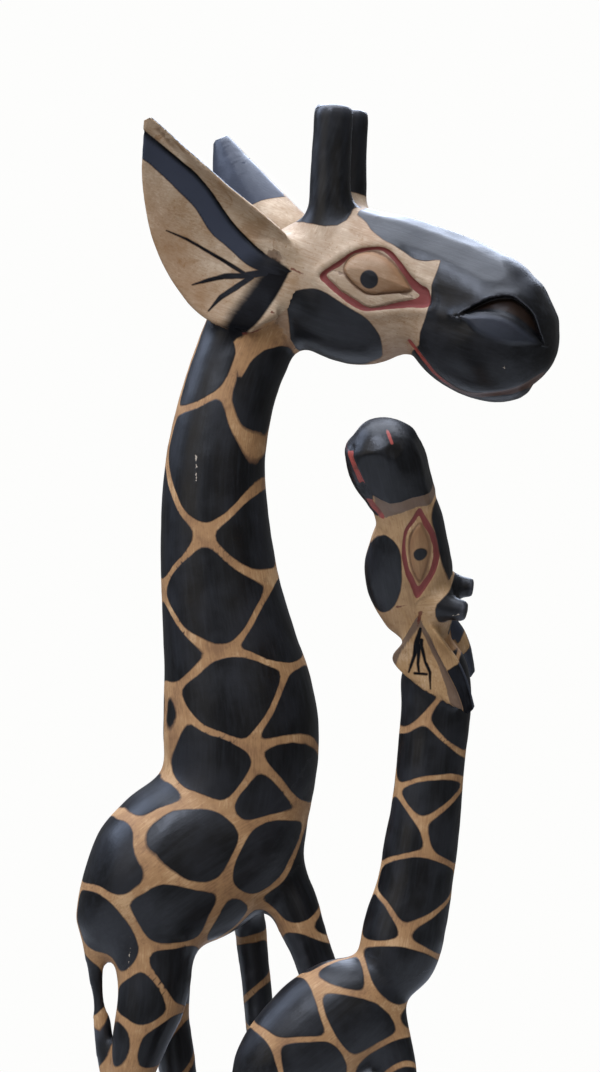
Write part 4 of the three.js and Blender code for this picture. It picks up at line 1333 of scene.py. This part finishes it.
# bare or thinly painted wood: grain, stains and specks
def woodGroup():
    group, given, made = makeGroup("pale wood", {
        "Along Limb": (0, 0, 0), "Place": (0, 0, 0), "Light": (1, 1, 1, 1), "Middle": (0.5, 0.5, 0.5, 1),
        "Dark": (0, 0, 0, 1), "Stain": 0.5}, ["Color"])
    grain = speckle(group, given["Along Limb"], 1.0, 4, 0.65, (0.8, 0.8, 0.07))
    cloud = speckle(group, given["Place"], 45, 4, 0.6)
    share = plus(group, times(group, grain, 0.34), times(group, cloud, 0.66))
    color = blend(group, ramp(group, share, 0.36, 0.52, 0.4, 1), given["Dark"], given["Middle"])
    color = blend(group, ramp(group, share, 0.50, 0.66), color, given["Light"])
    specks = ramp(group, speckle(group, given["Place"], 420), 0.63, 0.7)
    blotch = ramp(group, speckle(group, given["Place"], 60, 4, 0.7, distortion=0.6), 0.55, 0.75)
    dirt = times(group, plus(group, times(group, specks, 0.5), blotch), given["Stain"], True)
    group.links.new(blend(group, dirt, color, given["Dark"]), made["Color"])
    return group


stroke, brushMarks, paintEdge, paleWood = strokeGroup(), brushGroup(), edgeGroup(), woodGroup()


def attribute(tree, name, output="Fac"):
    return addNode(tree, "ShaderNodeAttribute", attribute_name=name).outputs[output]


# the deepest of several strokes at a place
def strokesDepth(tree, at, strokes):
    deepest = None
    for start, end, wide, narrow in strokes:
        depth = useGroup(tree, stroke, {"At": at, "From": start, "To": end, "Start Width": wide,
                                        "End Width": narrow})["Depth"]
        deepest = depth if deepest is None else larger(tree, deepest, depth)
    return deepest


# marks are drawn as the camera sees them, so their distance sideways counts for a third
sideways = 0.35


def flatter(strokes):
    return [((a[0], a[1] * sideways, a[2]), (b[0], b[1] * sideways, b[2]), wide, narrow)
            for a, b, wide, narrow in strokes]


# the hollow brown is painted shade for creases and hollows
paintHues = {
    # the wash brown is painted shade for the lower head, the ears and the eyes
    "tanLight": "b9956b", "tan": "9c764e", "tanDark": "6d4c33", "creamDark": "80603f", "paintedShade": "876444",
    "hollow": "5d4433", "lensRim": "6b4b33", "crack": "5a2a20", "red": "5f2a27", "redLight": "85403a",
    # the slate grey is a painted sheen, a reflection of the sky on the black
    "inkRim": "4a3425", "ink": "0b0b0c", "inkStreak": "1a1b1d", "inkDust": "25262a", "inkSheen": "3d414b",
    # the worn grey lightens raised edges of the black, as worn paint and as a painted highlight
    "inkWearAndHighlight": "4a4b50", "mouthFaded": "4a3226", "hole": "2b1c12", "chipAndGlint": "b9ab98",
}
hue = {name: linear(code) for name, code in paintHues.items()}


# black, cream and red paint over carved wood
def animalPaint(name, look, ear, marks):
    finish, tree, shader = newFinish(name)
    place = addNode(tree, "ShaderNodeTexCoord").outputs["Object"]
    along = attribute(tree, "brushAt", "Vector")
    brush = useGroup(tree, brushMarks, {"Along Limb": along, "Place": place, "Fineness": look["fineness"]})
    wearAndHollowShade = attribute(tree, "wearAndHollowShade")
    light, middle = (linear(code) for code in look["cream"])

    # pale parts: tan lines on the body, cream on the head
    tan = useGroup(tree, paleWood, {"Along Limb": along, "Place": place, "Light": hue["tanLight"],
                                    "Middle": hue["tan"], "Dark": hue["tanDark"], "Stain": 0.55})
    cream = useGroup(tree, paleWood, {"Along Limb": along, "Place": place, "Light": light, "Middle": middle,
                                      "Dark": hue["creamDark"], "Stain": 0.8})
    color = blend(tree, attribute(tree, "cream"), tan["Color"], cream["Color"])
    # painted shade: the wash brown laid over the cream as far as its mask says
    shadedShare = times(tree, attribute(tree, "paintedShade"), ramp(tree, brush["Streaks"], 0.3, 0.6, 0.6, 1))
    color = blend(tree, times(tree, shadedShare, attribute(tree, "cream"), True), color, hue["paintedShade"])
    # painted shade: brown in the creases and hollows
    color = blend(tree, ramp(tree, wearAndHollowShade, -0.02, -0.10, 0, 0.6), color, hue["hollow"])
    streaky = times(tree, minus(tree, brush["Streaks"], 0.5), 5)
    # painted shade at the giraffe's ear roots, and grey-brown paint on the calf's ears and muzzle
    shadeAndGreyBand = ramp(tree, plus(tree, attribute(tree, "shadeAndGreyBand"), streaky), *look["shadeAndGreyBand"])
    color = blend(tree, times(tree, shadeAndGreyBand, look["shadeAndGreyShare"]), color, linear(look["shadeAndGreyHue"]))
    fromLens = math2(tree, "ABSOLUTE", plus(tree, attribute(tree, "lensLine"), 0.4))
    color = blend(tree, ramp(tree, fromLens, 1.3, 0.2, 0, 0.65), color, hue["lensRim"])

    # cracks and knife slips
    placeMm = vector2(tree, "MULTIPLY", place, (1000, 1000 * sideways, 1000))
    jitter = minus(tree, speckle(tree, place, 500, 3, 0.7), 0.5)
    crack = plus(tree, strokesDepth(tree, placeMm, flatter(marks["cracks"])), times(tree, jitter, 2.2))
    color = blend(tree, ramp(tree, crack, -0.3, 0.5, 0, 0.85), color, hue["crack"])

    # red rings
    redDepth = larger(tree, attribute(tree, "redEdge"), -5.0)
    redEdge = useGroup(tree, paintEdge, {"Depth": redDepth, "Place": place, "Waver": 0.55, "Line": 1.0})
    color = blend(tree, redEdge["Patch"], color, blend(tree, brush["Streaks"], hue["red"], hue["redLight"]))

    # black
    veins = [(start + (0,), end + (0,), wide, narrow) for start, end, wide, narrow in ear["veins"]]
    veinDepth = strokesDepth(tree, attribute(tree, "earAt", "Vector"), veins)
    depth = larger(tree, larger(tree, attribute(tree, "blackEdge"), veinDepth), -6.0)
    edge = useGroup(tree, paintEdge, {"Depth": depth, "Place": place, "Waver": look["waver"], "Line": 0.6})
    clear = times(tree, minus(tree, 1.0, shadeAndGreyBand), 0.75)
    color = blend(tree, times(tree, edge["Edge"], clear), color, hue["inkRim"])
    dust = ramp(tree, brush["Cloud"], 0.42, 0.66)
    ink = blend(tree, ramp(tree, brush["Streaks"], 0.40, 0.68), hue["ink"], hue["inkStreak"])
    ink = blend(tree, times(tree, dust, 0.45), ink, hue["inkDust"])
    # painted sheen: bluish grey in the black of the giraffe's ear band, the ears' backs and the giraffe's
    # nostril lips
    ink = blend(tree, times(tree, attribute(tree, "paintedSheen"), 0.8), ink, hue["inkSheen"])
    # paler black on raised edges: partly worn paint, partly a painted highlight along them
    ink = blend(tree, ramp(tree, wearAndHollowShade, 0.05, 0.16, 0, 0.5), ink, hue["inkWearAndHighlight"])
    color = blend(tree, edge["Patch"], color, ink)

    # the mouth's red line, which fades towards the nose, and the nostrils' dark hollows
    mouth = minus(tree, look["mouthWidth"], math2(tree, "ABSOLUTE", attribute(tree, "mouthLine")))
    mouthDepth = larger(tree, mouth, -5.0)
    mouthEdge = useGroup(tree, paintEdge, {"Depth": mouthDepth, "Place": place, "Waver": 0.5, "Line": 1.0})
    forward = addNode(tree, "ShaderNodeSeparateXYZ", {0: along}).outputs[2]
    faded = larger(tree, ramp(tree, speckle(tree, place, 90, 3, 0.6), 0.5, 0.65, 0, 0.6),
                   ramp(tree, forward, *look["mouthFades"]))
    mouthHue = blend(tree, faded, linear(look["mouthHue"]), hue["mouthFaded"])
    color = blend(tree, mouthEdge["Patch"], color, mouthHue)
    color = blend(tree, ramp(tree, attribute(tree, "hole"), 0.5, 4, 0, 0.7), color, hue["hole"])

    # chips down to the wood, and the listed nicks; the calf's one is a painted highlight on its horn
    atEdges = times(tree, ramp(tree, wearAndHollowShade, 0, 0.3), 0.06)
    dots = plus(tree, speckle(tree, place, 190, 4, 0.72), atEdges)
    chips = ramp(tree, dots, look["chips"], look["chips"] + 0.02)
    nickAndGlint = plus(tree, strokesDepth(tree, placeMm, flatter(marks["nicksAndGlints"])), times(tree, jitter, 4.5))
    chips = larger(tree, chips, ramp(tree, nickAndGlint, 0.5, 0.8))
    # the chip colour also paints the highlight on the calf's horn
    color = blend(tree, times(tree, chips, 0.8), color, hue["chipAndGlint"])
    tree.links.new(color, shader["Base Color"])

    gloss = ramp(tree, brush["Cloud"], 0.3, 0.7, look["gloss"], look["gloss"] + 0.16)
    painted = larger(tree, edge["Patch"], shadeAndGreyBand)
    rough = addNode(tree, "ShaderNodeMix", {0: painted, 2: 0.62, 3: gloss}).outputs[0]
    tree.links.new(rough, shader["Roughness"])
    specular = ramp(tree, attribute(tree, "matte"), 0, 1, look["specular"], 0.05, False)
    tree.links.new(specular, shader["Specular IOR Level"])

    grain = times(tree, speckle(tree, place, 260, 3, 0.6), 0.35)
    relief = plus(tree, times(tree, brush["Streaks"], 0.5), grain)
    relief = plus(tree, relief, times(tree, ramp(tree, edge["Depth"], -0.5, 0.5), 0.35))
    relief = minus(tree, relief, times(tree, chips, 0.4))
    bump = addNode(tree, "ShaderNodeBump", {"Strength": 0.55, "Distance": 0.0006, "Height": relief})
    tree.links.new(bump.outputs[0], shader["Normal"])
    return finish


# the giraffe's near-black smudge colour is painted shade at its ear roots
giraffeLook = {
    "cream": ("b8a48b", "a08a70"), "fineness": 0.55, "shadeAndGreyBand": (-10, 0.8), "shadeAndGreyShare": 1.0,
    "shadeAndGreyHue": "0b0b0d", "mouthWidth": 1.5, "mouthHue": "8a3d33", "mouthFades": (138, 152),
    "waver": 0.45, "gloss": 0.31, "specular": 0.3, "chips": 0.86,
}
calfLook = {
    "cream": ("bd9f7c", "a6855e"), "fineness": 0.8, "shadeAndGreyBand": (-0.6, 1.2), "shadeAndGreyShare": 0.85,
    "shadeAndGreyHue": "5c4c42", "mouthWidth": 2.0, "mouthHue": "8c3f36", "mouthFades": (300, 310), "waver": 0.4,
    "gloss": 0.31, "specular": 0.3, "chips": 0.86,
}
giraffeMarks = {
    "cracks": [
        ((34.4, 8.5, 875.9), (42.7, 3.4, 871.3), 0.9, 0.4),
        ((2.9, 27.7, 831.2), (12.1, 26.6, 834.1), 1.2, 1.5),
        ((12.1, 26.6, 834.1), (20.8, 26.8, 837.8), 1.5, 0.7), ((21, 14, 846), (29, 24, 843), 0.9, 0.5),
    ],
    "nicksAndGlints": [
        ((-31, 27, 745), (-31, 25, 727), 0.9, 0.7), ((169, -60, 804), (169.5, -60, 803.4), 1.1, 1.0),
        ((-78, 21, 409), (-80, 19, 386), 0.7, 0.6), ((18, 12, 858), (12, 13, 850), 1.1, 0.7),
    ],
}
calfMarks = {
    "cracks": [
        ((85.2, -90.7, 640.6), (90.5, -94.2, 642), 0.8, 0.4),
        ((99.7, -96, 637), (99.2, -94, 627), 1.5, 0.6),
    ],
    # this stroke is a painted highlight: the glint on the tip of the near horn
    "nicksAndGlints": [((126.3, -107, 636.5), (118.3, -101, 634.5), 0.8, 0.6)],
}
base = {"length": 356, "width": 256, "thickness": 26, "edgeRound": 4, "cornersRound": 144,
        "rings": 3, "ringApart": 14, "dent": 0.9, "dark": "24180f", "light": "4a3222", "dust": "6b5644"}


def makeBase():
    halfLength, halfWidth = base["length"] / 2, base["width"] / 2
    bm = bmesh.new()
    bmesh.ops.create_circle(bm, cap_ends=True, segments=base["cornersRound"], radius=1)
    bmesh.ops.scale(bm, vec=(halfLength, halfWidth, 1), verts=bm.verts)
    made = bmesh.ops.extrude_face_region(bm, geom=bm.faces[:])["geom"]
    lifted = [item for item in made if isinstance(item, bmesh.types.BMVert)]
    bmesh.ops.translate(bm, vec=(0, 0, base["thickness"]), verts=lifted)
    bmesh.ops.recalc_face_normals(bm, faces=bm.faces)
    rims = [edge for edge in bm.edges if edge.calc_face_angle(0) > 1]
    bmesh.ops.bevel(bm, geom=rims, offset=base["edgeRound"], segments=4, profile=0.5,
                    affect="EDGES", material=-1)
    for _ in range(base["rings"]):
        flats = [face for face in bm.faces if abs(face.normal.z) > 0.99 and len(face.verts) > 20]
        bmesh.ops.inset_region(bm, faces=flats, thickness=base["ringApart"], use_even_offset=True)
    for vert in bm.verts:  # tool marks round the rim
        x, y, z = vert.co
        dent = base["dent"] * (0.5 + 0.5 * noise.noise(Vector((x / 26, y / 26, z / 14))))
        if math.hypot(x / halfLength, y / halfWidth) > 0.93:
            vert.co.x -= x * dent / halfLength
            vert.co.y -= y * dent / halfWidth
    bmesh.ops.triangulate(bm, faces=[face for face in bm.faces if len(face.verts) > 4])
    bmesh.ops.scale(bm, vec=(0.001, 0.001, 0.001), verts=bm.verts)
    mesh = bpy.data.meshes.new("baseSlab")
    bm.to_mesh(mesh)
    bm.free()
    for polygon in mesh.polygons:
        polygon.use_smooth = abs(polygon.normal.z) < 0.98
    return addObject("baseSlab", mesh)


# dark stained plank with its grain along the length
def baseStain():
    finish, tree, shader = newFinish("baseStain")
    place = addNode(tree, "ShaderNodeTexCoord").outputs["Object"]
    grain = speckle(tree, place, 14, 5, 0.65, (1, 9, 9), 0.5)
    fine = speckle(tree, place, 90, 3, 0.6, (0.4, 5, 5))
    share = plus(tree, times(tree, grain, 0.65), times(tree, fine, 0.35))
    color = blend(tree, ramp(tree, share, 0.35, 0.65), linear(base["dark"]), linear(base["light"]))
    dust = ramp(tree, speckle(tree, place, 30, 4, 0.6), 0.5, 0.75, 0, 0.35)
    tree.links.new(blend(tree, dust, color, linear(base["dust"])), shader["Base Color"])
    tree.links.new(ramp(tree, share, 0.3, 0.7, 0.62, 0.42), shader["Roughness"])
    bump = addNode(tree, "ShaderNodeBump", {"Strength": 0.5, "Distance": 0.0008, "Height": share})
    tree.links.new(bump.outputs[0], shader["Normal"])
    return finish


for name, animal, face, ear, look, marks, seed in (
    ("giraffe", giraffe, giraffeFace, giraffeEar, giraffeLook, giraffeMarks, 4),
    ("calf", calf, calfFace, calfEar, calfLook, calfMarks, 9),
):
    piece = carveAnimal(name, animal, face, ear, seed)
    piece.data.materials.clear()
    piece.data.materials.append(animalPaint(name + "Paint", look, ear, marks))
    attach(piece, "root")
    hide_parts(name)

slab = makeBase()
slab.data.materials.append(baseStain())
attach(slab, "root")
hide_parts("base")
print("base made")
